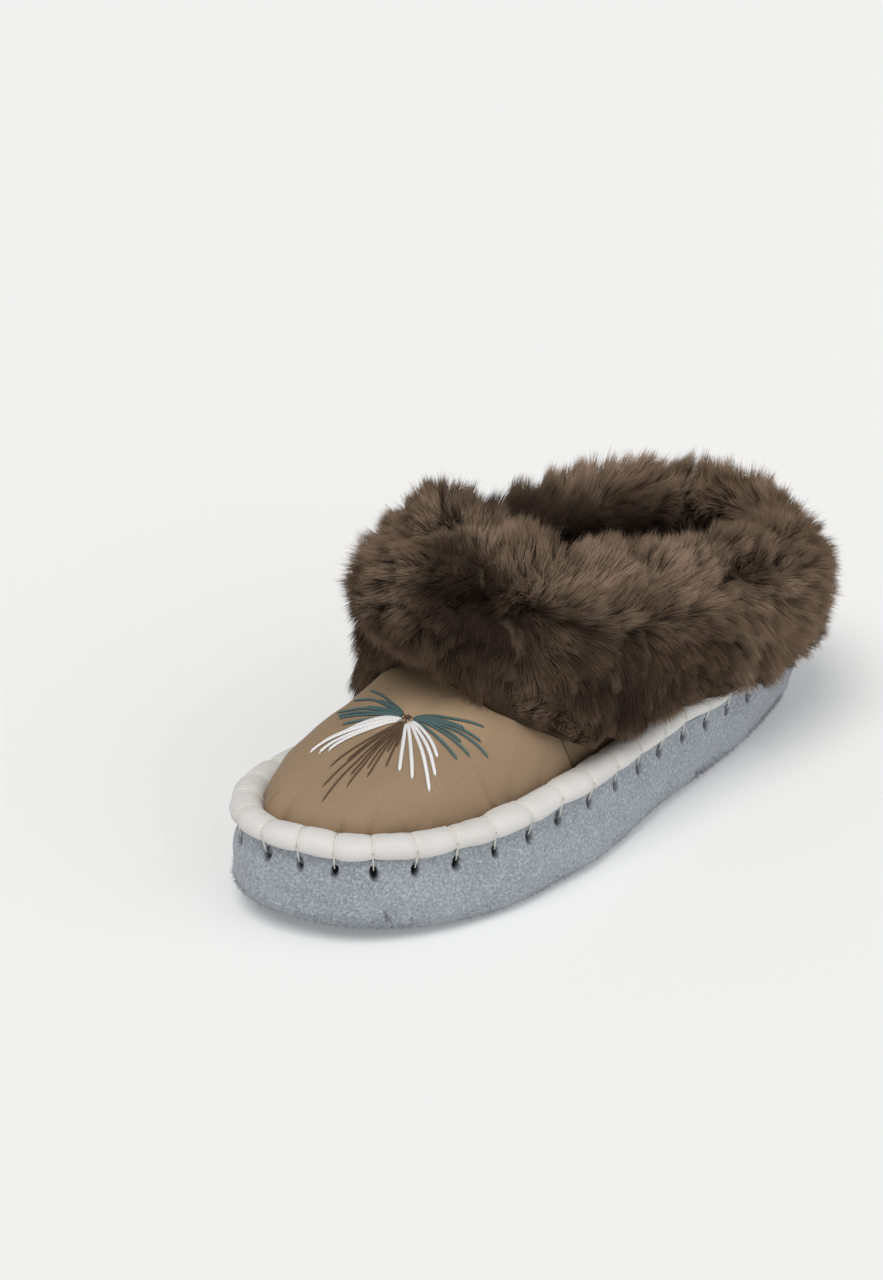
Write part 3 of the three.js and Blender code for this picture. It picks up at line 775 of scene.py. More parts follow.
def thread_finish(name, colour, shade, roughness):
    """Twisted thread: the ply shows as a slanting ridge along it, with painted shade in its hollows.
    """
    f = Finish(name)
    ply = f.node("Math", {"operation": "SINE"}, {0: f.read("twist") * (2 * math.pi)})
    fuzz = f.noise(0.4, 2, 0.6)
    # Painted shade in the hollows of the ply.
    tone = f.mix(0.5 + 0.5 * ply, shade, colour)
    tone = f.mix(f.ease(fuzz, 0.4, 0.8) * 0.3, tone, shade)
    normal = f.relief(ply * 0.5 + fuzz * 0.5, 0.3, 0.12)
    return f.surface(tone, roughness, normal, Specular_IOR_Level=0.3, Sheen_Weight=0.1)


def fur_finish(name, fur):
    """Sheepskin pile: dark at the root, partly as painted shade, taupe at the tip, with warmer and
    greyer tufts and painted light and shade.
    """
    f = Finish(name)
    tip = f.read("tip")
    tuft = f.read("tuft")
    patch = f.noise(22, 2, 0.5)
    fleck = f.noise(1.1, 2, 0.6)
    light = f.mix(f.ease(patch, 0.3, 0.7), fur.colour, fur.warm)
    # The tuft value also carries painted light and shade.
    light = f.mix(tuft, light, fur.pale)
    # Darker towards the root: the pile's darker base, partly painted shade.
    colour = f.mix(f.ease(tip, 0.1, 0.9), fur.root, light)
    colour = f.mix(f.ease(fleck, 0.45, 0.75) * 0.25, colour, fur.root)
    normal = f.relief(fleck, 0.3, 0.4)
    return f.surface(colour, 1.0, normal, Specular_IOR_Level=0.0)


# Sizes and colours that a user may change


def size_prop(name, description, default):
    """A length in metres."""
    return FloatProperty(name=name, description=description, default=default, min=0,
                         unit="LENGTH", precision=5)


def colour_prop(name, description, default):
    """A linear colour."""
    return FloatVectorProperty(name=name, description=description, default=default, size=3,
                               min=0, max=1, subtype="COLOR")


class SoleLooks(bpy.types.PropertyGroup):
    """The suede cup and its awl holes."""

    colour: colour_prop("Suede", "Light tone of the blue-grey suede", (0.352, 0.382, 0.418))
    shade: colour_prop("Suede shade", "Brushed dark tone of the suede", (0.285, 0.31, 0.342))
    speckle: colour_prop("Speckle", "Pale ends of the nap", (0.54, 0.567, 0.60))
    pit: colour_prop("Pit", "Dark ground between the fibres", (0.19, 0.211, 0.236))
    # Painted shade: the near-black inside of the awl holes, which are dents, not pierced.
    painted_hole_shade: colour_prop("Hole", "Inside of the awl holes", (0.012, 0.012, 0.013))
    hole_width: size_prop("Hole width", "Width of an awl hole", 0.0026)
    hole_height: size_prop("Hole height", "Height of an awl hole", 0.005)
    hole_drop: size_prop("Hole drop", "Depth of a hole's middle below the wall's top", 0.0026)
    belly: size_prop("Belly", "How far the padded wall stands out at half height", 0.0008)
    nap: size_prop("Nap", "Length of the fuzz along the lower edge", 0.0013)


class RollLooks(bpy.types.PropertyGroup):
    """The white leather roll and the thread over it."""

    colour: colour_prop("Leather", "Off-white smooth leather", (0.675, 0.665, 0.642))
    shade: colour_prop("Leather shade", "Slightly soiled tone", (0.61, 0.596, 0.565))
    # Painted shade in the tucks at the stitches and under the roll.
    painted_tuck_shade: colour_prop("Tuck", "Tone in the tucks at the stitches", (0.60, 0.57, 0.51))
    tuck_depth: size_prop("Tuck depth", "How far a stitch draws the roll in", 0.0008)
    thread: colour_prop("Thread", "Cream sewing thread", (0.84, 0.815, 0.755))
    # Painted shade in the hollows of the ply.
    thread_shade: colour_prop("Thread shade", "Dark side of the ply", (0.72, 0.69, 0.62))
    thread_radius: size_prop("Thread radius", "Radius of the sewing thread", 0.00017)


class UpperLooks(bpy.types.PropertyGroup):
    """The nubuck upper and its embroidery."""

    colour: colour_prop("Nubuck", "Light tone of the tan leather", (0.31, 0.214, 0.131))
    shade: colour_prop("Nubuck shade", "Darker mottling", (0.28, 0.192, 0.116))
    speck: colour_prop("Speck", "Pale specks in the grain", (0.47, 0.35, 0.24))
    # Painted light: a paler colour by the fur's border, where the fur's overhang shades the leather.
    brushed: colour_prop("Brushed", "Paler nap by the fur's border", (0.56, 0.395, 0.245))
    # Painted shade in the folds and creases, and the real dark of the seam lines.
    painted_shade_and_seam_colour: colour_prop("Fold", "Tone in the folds and the seams", (0.10, 0.06, 0.035))
    pucker: size_prop("Pucker", "Depth of the gathers at the roll", 0.0006)
    teal: colour_prop("Teal", "Teal embroidery thread", (0.085, 0.155, 0.155))
    white: colour_prop("White", "White embroidery thread", (0.86, 0.85, 0.84))
    brown: colour_prop("Brown", "Brown embroidery thread", (0.125, 0.072, 0.038))


class FurLooks(bpy.types.PropertyGroup):
    """The sheepskin cuff, the lining and the footbed."""

    colour: colour_prop("Pile", "Taupe tips", (0.25, 0.174, 0.119))
    warm: colour_prop("Warm pile", "Browner tufts", (0.215, 0.145, 0.096))
    # Also the colour of the painted light on the fur.
    pale: colour_prop("Pale pile", "Sun-bleached tufts", (0.43, 0.312, 0.225))
    # Partly painted shade deep in the pile.
    root: colour_prop("Root", "Dark pile near the skin", (0.042, 0.029, 0.021))
    pile: size_prop("Pile", "Length of the hair that shows", 0.0075)
    hair_radius: size_prop("Hair radius", "Radius of a bundle of hairs at its foot", 0.00019)
    lock: size_prop("Lock", "Width of a lock of hair", 0.009)
    curl: size_prop("Curl", "Width of a curl in a lock", 0.0033)
    strands: IntProperty(name="Strands", description="Bundles of hairs in each quarter of the cuff",
                         default=44000, min=500, max=49900)
    lumps: size_prop("Lumps", "How far locks stray from an even lay", 0.0022)


class StageLooks(bpy.types.PropertyGroup):
    """Floor, light and camera."""

    floor: colour_prop("Floor", "Pale floor", (0.75, 0.75, 0.75))
    glow: FloatProperty(name="Glow", description="How much the floor shines by itself",
                        default=0.19, min=0)
    sky: FloatProperty(name="Sky", description="Strength of the even light", default=0.36, min=0)
    key: FloatProperty(name="Key", description="Strength of the soft key light", default=1.8,
                       min=0)
    fill: FloatProperty(name="Fill", description="Strength of the front light", default=0.95, min=0)
    distance: size_prop("Distance", "From the camera to its target", 1.049)


class MoccasinLooks(bpy.types.PropertyGroup):
    """All that a user may change."""

    sole: PointerProperty(type=SoleLooks)
    roll: PointerProperty(type=RollLooks)
    upper: PointerProperty(type=UpperLooks)
    fur: PointerProperty(type=FurLooks)
    stage: PointerProperty(type=StageLooks)


# The suede cup


def awl_holes(looks, away, number, below):
    """How far points are inside their stitch's awl hole, by how far below its middle they are."""
    rng = np.random.default_rng(5)
    size = rng.uniform(0.85, 1.15, STITCHES)[number][:, None]
    tilt = rng.normal(0, 0.1, STITCHES)[number][:, None]
    side = away[:, None] + tilt * below
    reach = np.hypot(side / (looks.hole_width / MM / 2), below / (looks.hole_height / MM / 2))
    return 1 - step(reach / size, 0.7, 1.12)


def make_sole(looks):
    """The suede cup, with an awl hole sunk in its wall at each stitch."""
    share, away, number = stitch_columns(WALL_COLUMNS)
    cols = Columns(share).rows()
    y = cols.base[..., 1]
    flare = SOLE_FLARE * around(FLARE, cols.share, "flare")
    low = lift(y) + SOLE_EDGE
    fine, coarse = 6, 9.5
    drop = [np.linspace(fine + coarse, fine + 0.4, 7), np.arange(fine - 0.2, -2.41, -0.4)]
    drop = np.concatenate(drop)[None]
    drop = np.where(drop > fine, fine + (cols.top - low - fine) * (drop - fine) / coarse, drop)
    high = (cols.top - drop - low) / (cols.top - low)
    wall = cols.inset(-flare * (1 - high), -drop)

    below = drop - looks.hole_drop / MM
    hole = awl_holes(looks, away, number, below)
    dimple = DIMPLE_DEPTH * bump(away, DIMPLE_WIDTH)[:, None] * bump(below, DIMPLE_HEIGHT)
    stray = 1 - step(np.linalg.norm(wall - STRAY_MARK, axis=-1), 0.7, 1.5)
    out = looks.belly / MM * np.sin(np.pi * np.clip(high, 0, 1))
    out = out + 0.35 * wander(wall, 26, 11) + 0.12 * wander(wall, 8, 12)
    out = out - dimple - HOLE_DEPTH * hole
    wall[..., :2] += cols.base_out * (out - stray)[..., None]

    turn = np.radians([90, 75, 60, 45, 30, 15])[None]
    edge = cols.inset(SOLE_EDGE * (1 - np.cos(turn)) - flare, 0)
    edge[..., 2] = lift(y) + SOLE_EDGE * (1 - np.sin(turn))
    edge[..., :2] += cols.base_out * (0.35 * wander(edge, 26, 11) * np.cos(turn))[..., None]
    under = cols.inset(np.array([[3 * SOLE_EDGE, 2 * SOLE_EDGE]]), 0)
    under[..., 2] = lift(under[..., 1])
    rim = cols.inset(np.array([[0.7, WALL_THICKNESS]]), np.array([[2.2, 0.0]]))
    floor = cols.inset(np.array([[WALL_THICKNESS]]), 0)
    floor[..., 2] = spring(floor[..., 1]) + PAD_THICKNESS

    grid = np.concatenate([under, edge, wall, rim, floor], 1)
    rows = grid.shape[1]
    dark = np.zeros(grid.shape[:2])
    darker_low_edge = np.zeros(grid.shape[:2])
    first = under.shape[1] + edge.shape[1]
    # The awl holes and the stray prick get painted shade.
    dark[:, first:first + wall.shape[1]] = np.maximum(hole, STRAY_SHADE * stray)
    darker_low_edge[:, :first] = 1 - step(grid[:, :first, 2] - lift(y), 0.5, 4.5)
    return make_piece("suede_cup", grid.reshape(-1, 3), closed_quads(len(share), rows),
                      suede_finish(looks), {"hole": dark, "edge": darker_low_edge})


def make_nap(looks):
    """Short fuzz along the cup's lower edge and its foot."""
    rng = np.random.default_rng(21)
    count = NAP_FIBRES
    cols = Columns(rng.uniform(0, 1, count))
    turn = np.radians(rng.uniform(-4, 62, count))
    flare = SOLE_FLARE * around(FLARE, cols.share, "flare")
    root = cols.inset(SOLE_EDGE * (1 - np.cos(turn)) - flare, 0)
    root[:, 2] = lift(cols.base[:, 1]) + SOLE_EDGE * (1 - np.sin(turn))
    out = np.concatenate([cols.base_out * np.cos(turn)[:, None], -np.sin(turn)[:, None]], 1)
    way = unit(out + rng.normal(0, 0.55, (count, 3)))
    tip = root + way * (looks.nap / MM * rng.uniform(0.4, 1.2, count))[:, None]
    tip[:, 2] = np.maximum(tip[:, 2], 0.05)
    root -= out * 0.3
    points, faces, _ = strands(root, tip, 0.11)
    zero = np.zeros(len(points))
    make_piece("suede_nap", points, faces, suede_finish(looks),
               {"hole": zero, "edge": zero})


def strands(root, tip, radius):
    """Closed three-sided spikes from root to tip, and how far up each point lies."""
    count = len(root)
    along = unit(tip - root)
    side = unit(np.cross(along, np.where(np.abs(along[:, 2:]) > 0.9, (1.0, 0, 0), (0, 0, 1.0))))
    up = np.cross(along, side)
    radius = np.broadcast_to(radius, (count,))[:, None]
    turns = np.arange(3) * 2 * np.pi / 3
    points = [root + radius * (np.cos(turn) * side + np.sin(turn) * up) for turn in turns] + [tip]
    pattern = np.array([[0, 2, 1], [0, 1, 3], [1, 2, 3], [2, 0, 3]])
    faces = (4 * np.arange(count)[:, None, None] + pattern).reshape(-1, 3)
    return np.stack(points, 1).reshape(-1, 3), faces, np.tile([0.0, 0, 0, 1], count)


# The roll and its stitches


def roll_points(share, away, number, insets, heights, looks):
    """Points of the roll's section in columns, drawn in where a stitch crosses it."""
    cols = Columns(share).rows()
    rng = np.random.default_rng(31)
    puff = rng.normal(0, 0.018, STITCHES)
    between = 0.5 - 0.5 * np.cos(2 * np.pi * away / PITCH)
    tuck = looks.tuck_depth / MM / 5
    draw = 0.45 * bump(away, SLOPE_WIDTH) + 0.55 * bump(away, TUCK_WIDTH)
    draw = (1 - tuck * draw + 0.012 * between + puff[number] * between)[:, None]
    middle_in, middle_up = ROLL_MIDDLE
    inset, height = np.array(insets)[None], np.array(heights)[None]
    firm = step(height, 0.0, 2.5)
    draw = 1 + (draw - 1) * firm
    points = cols.inset(middle_in + (inset - middle_in) * draw,
                        middle_up + (height - middle_up) * draw + CLEARANCE)
    firm = np.broadcast_to(firm, points.shape[:2])[..., None]
    return points + firm * 0.22 * wander(points, 15, 32, 3)


def make_roll(looks):
    """The padded roll of white leather."""
    share, away, number = stitch_columns(ROLL_COLUMNS)
    section = spans(np.stack([ROLL["inset"], ROLL["height"]], -1), True, 12)
    insets, heights = evenly(np.vstack([section, section[:1]]), ROLL_POINTS + 1)[:-1].T
    grid = roll_points(share, away, number, insets, heights, looks)
    # Painted shade in the tucks at the stitches and on the roll's underside.
    tuck = np.broadcast_to(bump(away, TUCK_WIDTH)[:, None], grid.shape[:2])
    low = 1 - step(heights, 0.5, 3.0)[None]
    faces = quads(len(share), len(insets), True)
    piece = make_piece("welt_roll_leather", grid.reshape(-1, 3), faces, roll_finish(looks),
                       {"tuck": np.maximum(tuck, 0.6 * low)})
    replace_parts(piece, "welt_roll")


def make_stitches(looks, sole):
    """Two turns of thread over the roll at each hole."""
    face = spans(np.stack([ROLL["inset"][:2:-1], ROLL["height"][:2:-1]], -1), False, 3)
    steps = distances(face)
    steps /= steps[-1]
    face = face + 0.1 * unit(face - ROLL_MIDDLE)
    rng = np.random.default_rng(41)
    joined = Joined()
    radius = looks.thread_radius / MM
    drop = sole.hole_drop / MM
    for stitch in range(STITCHES):
        slant = rng.normal(0.5, 0.5)
        for turn in (-1, 1):
            shift = turn * (0.15 + 0.45 * steps) + slant * (steps - 0.3)
            share = stitch_share(stitch, shift) % 1
            every = roll_points(share, shift, np.full(len(shift), stitch), face[:, 0], face[:, 1],
                                looks)
            path = every[np.arange(len(shift)), np.arange(len(shift))]
            ends = Columns(np.array([stitch_share(stitch), share[-1]]))
            start = ends.inset(np.array([1.6, 9.8]), np.array([-drop, RISE_AT_ROLL - 0.6]))
            near = ends.inset(np.array([-0.1, 8.9]), np.array([1.2 - drop, RISE_AT_ROLL + 0.8]))
            path = np.vstack([start[:1], near[:1], path, near[1:], start[1:]])
            joined.add(*tube(path, radius * rng.uniform(0.9, 1.1), 5))
    finish = thread_finish("cream thread", looks.thread, looks.thread_shade, 0.6)
    joined.make("roll_stitches", finish, "welt_leather")


# The upper and its embroidery


def bow(cols, s):
    """Points of the upper's plain outer face: from the roll at 0 to the collar at 1."""
    start = cols.inset(ROLL_WIDTH - ROLL_OVERHANG, RISE_AT_ROLL)
    full = around(PROFILE, cols.share, "full")
    lean = around(PROFILE, cols.share, "lean")
    shoulder = start + (cols.edge - start) * lean[..., None]
    shoulder[..., 2] = start[..., 2] + (cols.edge - start)[..., 2] * full
    s = np.asarray(s, float)[..., None]
    return start * (1 - s) ** 2 + shoulder * 2 * s * (1 - s) + cols.edge * s**2


def gathers(looks, cols, away, number, along):
    """The leather's puckers at the stitches: how far it stands out, and how much shade is painted in
    it.
    """
    rng = np.random.default_rng(51)
    strong = rng.uniform(0.3, 1.5, STITCHES)[number][:, None]
    toe = 0.45 + 0.55 * bump(from_toe(cols.share), 0.13)
    reach = 3.5 + 3 * rng.uniform(0, 1, STITCHES)[number][:, None]
    gather = strong * toe * np.exp(-along / reach)
    depth = looks.pucker / MM
    out = -depth * gather * bump(away[:, None], 1.7) + 0.45 * depth * gather
    # Painted shade in the puckers' hollows.
    return out, 0.3 * gather * bump(away[:, None], 1.2)


def add_folds(cols, along, out, dark):
    """The same values with the small folds at the roll, and painted shade on their lee sides."""
    for fold in VAMP_FOLDS:
        turn = from_toe(cols.share - fold["round"])
        side = turn * outline.length - fold["slant"] * along / fold["reach"]
        fade = bump(along, fold["reach"])
        ridge = bump(side, fold["width"]) * fade
        lee = bump(side - 1.3 * fold["width"], fold["width"]) * fade
        out = out + fold["height"] * (ridge - 0.5 * lee)
        # Painted shade on the fold's lee side.
        dark = dark + 0.22 * lee
    return out, dark


def add_seams(turn, s, out, dark):
    """The same values with the step down behind each seam, painted shade on it, and the distance to
    the nearest seam.
    """
    close = np.full(out.shape, 1e3)
    for seam, way in ((VAMP_SEAMS[0], 1), (VAMP_SEAMS[1] - 1, -1)):
        beyond = (turn - seam) * way * outline.length - SEAM_SLANT * (1 - s / SEAM_CROSSING)
        beyond = beyond * (1 - COLUMNS_CLOSER * s)
        out = out - SEAM_STEP * step(beyond, -0.2, 0.8) * (np.abs(turn - seam) < 0.25)
        close = np.where(np.abs(beyond - 0.5) < np.abs(close), beyond - 0.5, close)
        # Painted shade on the stepped-down side of the seam.
        dark = dark + 0.1 * step(beyond, 0, 1)
    return out, dark, close


def upper_grid(looks):
    """The upper's outer face, its painted shade, painted light and seam distance at each point, and
    the columns.
    """
    share, away, number = stitch_columns(UPPER_COLUMNS)
    cols = Columns(share).rows()
    s = np.linspace(0, 1, UPPER_ROWS)[None] ** 1.2
    grid = bow(cols, s)
    along = np.concatenate([np.zeros((len(share), 1)), np.cumsum(
        np.linalg.norm(np.diff(grid, axis=1), axis=2), axis=1)], 1)
    normals = grid_normals(grid)
    out, dark = add_folds(cols, along, *gathers(looks, cols, away, number, along))
    out = out + 0.45 * wander(grid, 34, 52) + 0.16 * wander(grid, 11, 53)
    turn = from_toe(cols.share)
    out, dark, close = add_seams(turn, s, out, dark)
    border = around(PROFILE, cols.share, "border")
    # Painted shade in the crease along the roll.
    dark = dark + 0.3 * np.exp(-along / 1.2)
    # Painted light near the front by the fur's border, against the shade that the fur casts there.
    brushed = step(s, border - 0.26, border - 0.06) * bump(turn + 0.015, 0.075)
    out = out * step(1 - s, 0.0, 0.1)
    shades = {"dark": np.clip(dark, 0, 1), "seam": np.clip(close, -30, 30), "brushed": brushed}
    return grid + normals * out[..., None], shades, cols


def make_upper(looks, grid, shades, cols):
    """The leather shell, with its skirt inside the cup and its inner face."""
    skirt = WALL_THICKNESS + CLEARANCE
    low = cols.inset(np.array([[skirt, skirt]]), np.array([[-SKIRT_DEPTH, -0.8]]))
    outer = np.concatenate([low, grid], 1)
    normals = grid_normals(outer)
    pick = np.r_[0:3, 5:outer.shape[1]:4, outer.shape[1] - 1]
    inner = (outer - LEATHER * normals)[:, pick]
    inner[:, 0, 2] = outer[:, 0, 2]
    body = np.concatenate([outer, inner[:, ::-1]], 1)
    values = {}
    # The inner face: painted shade, no seam line and no painted light.
    for key, inside in (("dark", 0.3), ("seam", 30.0), ("brushed", 0.0)):
        face, back = shades[key], np.full(inner.shape[:2], inside)
        values[key] = np.concatenate([face[:, :1], face[:, :1], face, back], 1)
    faces = quads(body.shape[0], body.shape[1], True)
    piece = make_piece("nubuck_upper", body.reshape(-1, 3), faces, nubuck_finish(looks),
                       values)
    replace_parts(piece, "upper")


def heading(degrees):
    """A direction in plan, counted from the toe towards the lateral side."""
    turn = math.radians(degrees)
    return np.array([math.sin(turn), -math.cos(turn)])


def land(ground, plan):
    """The point of the ground under a place in plan, and the ground's normal there."""
    place, normal, _, _ = ground.ray_cast(Vector((*plan, 200)), Vector((0, 0, -1)))
    return np.array(place), np.array(-normal if normal.z < 0 else normal)


def make_embroidery(looks, grid):
    """The fan of straight stitches, laid on the vamp and drawn into it at their ends."""
    columns, rows = grid.shape[:2]
    ground = BVHTree.FromPolygons(grid.reshape(-1, 3).tolist(), quads(columns, rows).tolist())
    knot = np.array(FAN_KNOT)
    threads = {key: Joined() for key in PLY_SHADES}
    rng = np.random.default_rng(61)
    t = np.linspace(0, 1, 17)
    full = np.sin(np.pi * np.clip(t, 0.03, 0.97)) ** 0.5
    for fan in FANS.values():
        width = fan["width"]
        thick = width / 2 * (THREAD_END + (1 - THREAD_END) * full)
        sunk = 0.45 * (bump(t, 0.05) + bump(t - 1, 0.035)) * width
        for order, (turn, length, bend) in enumerate(
                zip(fan["direction"], fan["length"], fan["bow"])):
            way = heading(turn)
            across = np.array([-way[1], way[0]])
            near = 1.2 + rng.uniform(0, 1.2)
            reach = near + (length - near) * t
            plan = knot + reach[:, None] * way + (4 * t * (1 - t) * bend)[:, None] * across
            high = 0.30 * width * (1 + 0.4 * (order % 2) * (1 - t) ** 2) - sunk
            landed = [land(ground, place) for place in plan]
            path = [place + normal * up for (place, normal), up in zip(landed, high)]
            threads[fan["thread"]].add(*tube(path, thick, 6, THREAD_FLAT))
    for turn in KNOT_TURNS:
        path = [land(ground, knot + heading(turn) * reach)[0] + (0, 0, 0.9 - 0.33 * reach**2)
                for reach in np.linspace(-KNOT_HALF, KNOT_HALF, 9)]
        threads["brown"].add(*tube(path, 0.26, 6))
    for key, joined in threads.items():
        colour = getattr(looks, key)
        # Painted shade for the hollows of the ply.
        shade = [c * PLY_SHADES[key] for c in colour]
        joined.make("fan_" + key, thread_finish(key + " thread", colour, shade, 0.55),
                    "upper_leather")


# The sheepskin


def cuff_face(cols, rows):
    """The fur's face from the hem over the crest into the opening, and the leather behind it."""
    border = around(PROFILE, cols.share, "border")
    row = {key: around(CUFF, cols.share, key) for key in CUFF if key != "round"}
    rest = bow(cols, border)
    top = bow(cols, np.ones(len(cols.share)))
    out, edge_out = level(cols.base_out), level(cols.edge_out)

    def from_edge(reach, high):
        """Points at a reach from the collar's edge and a height over the instep's."""
        p = cols.edge + edge_out * (reach * CUFF_REACH)[:, None]
        p[:, 2] = INSTEP_HEIGHT + high * CUFF_HEIGHT
        return p

    hem = rest + out * (row["over"] * ROLL_WIDTH)[:, None]
    hem[:, 2] = cols.top + row["hang"] * ROLL_HEIGHT
    before = bow(cols, border + 0.79 * (1 - border))
    inside = before - edge_out * (LEATHER + 0.5)
    lining = inside - edge_out * LINING
    front = toe_side(cols.share)[:, None]
    start = hem + (rest + out * 0.4 - hem) * np.maximum(front, 0.1)
    marks = [start, hem, from_edge(row["reach"], row["belly"]),
             from_edge(row["crest"], row["top"]), from_edge(row["inner"], row["brim"]), lining]
    face = np.array([evenly(spans(column, False, 24), rows) for column in np.stack(marks, 1)])
    behind = np.stack([inside, top + (0, 0, 1.0), before + edge_out * 0.8, rest + out * 0.8], 1)
    return face, behind, hem[:, 2]


def toe_side(share):
    """How much a share round belongs to the front of the fur, over the vamp."""
    return 1 - step(np.abs(from_toe(share)), 0.12, 0.2)


def press(points, inward):
    """Presses the valleys into points of the fur."""
    for valley in FUR_VALLEYS:
        points = points + inward * (valley["depth"] * beside(points, valley))[..., None]
    return points


def beside(points, stretch):
    """How close points lie to a stretch from its start to its end: 1 on it."""
    start, end = np.array(stretch["start"], float), np.array(stretch["end"], float)
    line = end - start
    t = np.clip(((points - start) @ line) / (line @ line), 0, 1)
    return bump(np.linalg.norm(points - start - t[..., None] * line, axis=-1), stretch["width"])


class Cuff:
    """The fur's face, the pile's foot under it, and their values at any place."""

    def __init__(self, pile):
        self.count, self.rows = CUFF_COLUMNS, CUFF_ROWS
        cols = Columns(np.arange(self.count) / self.count)
        face, self.behind, self.hem = cuff_face(cols, self.rows)
        core = face.mean(1, keepdims=True)
        self.inward = unit(core - face)
        self.face = press(face, self.inward)
        self.valley = np.linalg.norm(self.face - face, axis=-1, keepdims=True)
        room = np.linalg.norm(core - self.face, axis=-1, keepdims=True)
        length = pile * (0.35 + 0.65 * step(np.linspace(0, 1, self.rows), 0, 0.16))[None, :, None]
        self.foot = self.face + self.inward * np.minimum(length, 0.62 * room)
        self.normals = grid_normals(self.face)
        self.out = np.broadcast_to(level(cols.edge_out)[:, None], self.face.shape)

    def read(self, values, share, along):
        """Values of a grid at shares round and along the face."""
        c = share * self.count
        r = along * (self.rows - 1)
        i, j = np.floor(c).astype(int), np.clip(np.floor(r).astype(int), 0, self.rows - 2)
        f, g = (c - i)[:, None], (r - j)[:, None]
        i, n = i % self.count, (i + 1) % self.count
        return ((values[i, j] * (1 - f) + values[n, j] * f) * (1 - g)
                + (values[i, j + 1] * (1 - f) + values[n, j + 1] * f) * g)

    def cells(self):
        """Areas of the face's cells."""
        a = np.roll(self.face, -1, 0) - self.face
        b = np.gradient(self.face, axis=1)
        return np.linalg.norm(np.cross(a, b), axis=-1)[:, :-1]

    def area(self):
        """Area of the whole face."""
        return self.cells().sum()

    def scatter(self, rng, count, first, last):
        """Random places on the face between two shares round, evenly by area."""
        area = self.cells()
        place = (np.arange(self.count) / self.count - first) % 1
        area = area * (place < last - first)[:, None]
        pick = rng.choice(area.size, count, p=(area / area.sum()).ravel())
        share = (pick // (self.rows - 1) + rng.uniform(0, 1, count)) / self.count
        return share, (pick % (self.rows - 1) + rng.uniform(0, 1, count)) / (self.rows - 1)


def lay_of(normals, out, share):
    """How the hair's tips are combed, in millimetres."""
    front = bump(from_toe(share), 0.10)[:, None]
    facing = (normals * out).sum(1)
    outer = step(facing, 0.0, 0.7)[:, None]
    inner = step(-facing, 0.2, 0.8)[:, None]
    crest = step(normals[:, 2], 0.5, 0.95)[:, None]
    low = step(-normals[:, 2], 0.1, 0.6)[:, None]
    side = 1 - front
    lay = outer * side * COMB["outside"] + inner * COMB["inside"]
    lay = lay + crest * (side * (out * 1.5 + COMB["crest"]) + front * out * 1.2)
    lay = lay + front * outer * COMB["front"] + front * low * (out * 2.6 + COMB["under front"])
    lay = lay - 0.6 * normals * (lay * normals).sum(1)[:, None]
    far_rim = step(share, 0.14, 0.22) * (1 - step(share, 0.46, 0.54))
    return lay + crest * far_rim[:, None] * COMB["far rim"]


def nearest(points, centres):
    """The nearest centre of each point, and its distance."""
    tree = KDTree(len(centres))
    for i, centre in enumerate(centres):
        tree.insert(centre, i)
    tree.balance()
    found = [tree.find(p) for p in points]
    return np.array([f[1] for f in found]), np.array([f[2] for f in found])


def make_cuff(looks):
    """The deep fur: a dense foot of pile and four quarters of tufted hair over it."""
    cuff = Cuff(looks.pile / MM)
    foot = cuff.foot + cuff.normals * (0.9 * wander(cuff.foot, 7, 71))[..., None]
    body = np.concatenate([foot, cuff.behind], 1)
    tone = np.full(body.shape[:2], FOOT_TIP)
    ground = make_piece("fur_foot", body.reshape(-1, 3), quads(cuff.count, body.shape[1], True),
                        fur_finish("pile foot", looks), {"tip": tone, "tuft": tone})
    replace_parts(ground, "fur_cuff")
    rng = np.random.default_rng(81)
    locks = Locks(cuff, rng, looks.lock / MM)
    curls = Locks(cuff, rng, looks.curl / MM)
    finish = fur_finish("sheepskin pile", looks)
    for name, (first, last) in QUARTERS.items():
        hair = Hair(cuff, *cuff.scatter(rng, looks.strands, first, last), locks, curls)
        make_quarter(name, hair, looks, finish, rng)


class Locks:
    """Centres that the hair gathers round, each with its own length, tone and lean."""

    def __init__(self, cuff, rng, size):
        count = int(cuff.area() / size**2)
        self.size = size
        self.centre = cuff.read(cuff.face, *cuff.scatter(rng, count, 0, 1))
        self.long = rng.uniform(-1, 1, count)
        self.pale = rng.uniform(-1, 1, count)
        self.lean = rng.normal(0, 1, (count, 3))


def rounded_normals(points, root, tip, normal):
    """Normals of spikes: mostly those of the fur's face, a little those of the round hair."""
    each = len(points) // len(root)
    along = np.repeat(unit(tip - root), each, axis=0)
    rounded = points - np.repeat(0.5 * (root + tip), each, axis=0)
    rounded = unit(rounded - along * (rounded * along).sum(1)[:, None])
    return unit(0.4 * rounded + np.repeat(normal, each, axis=0))


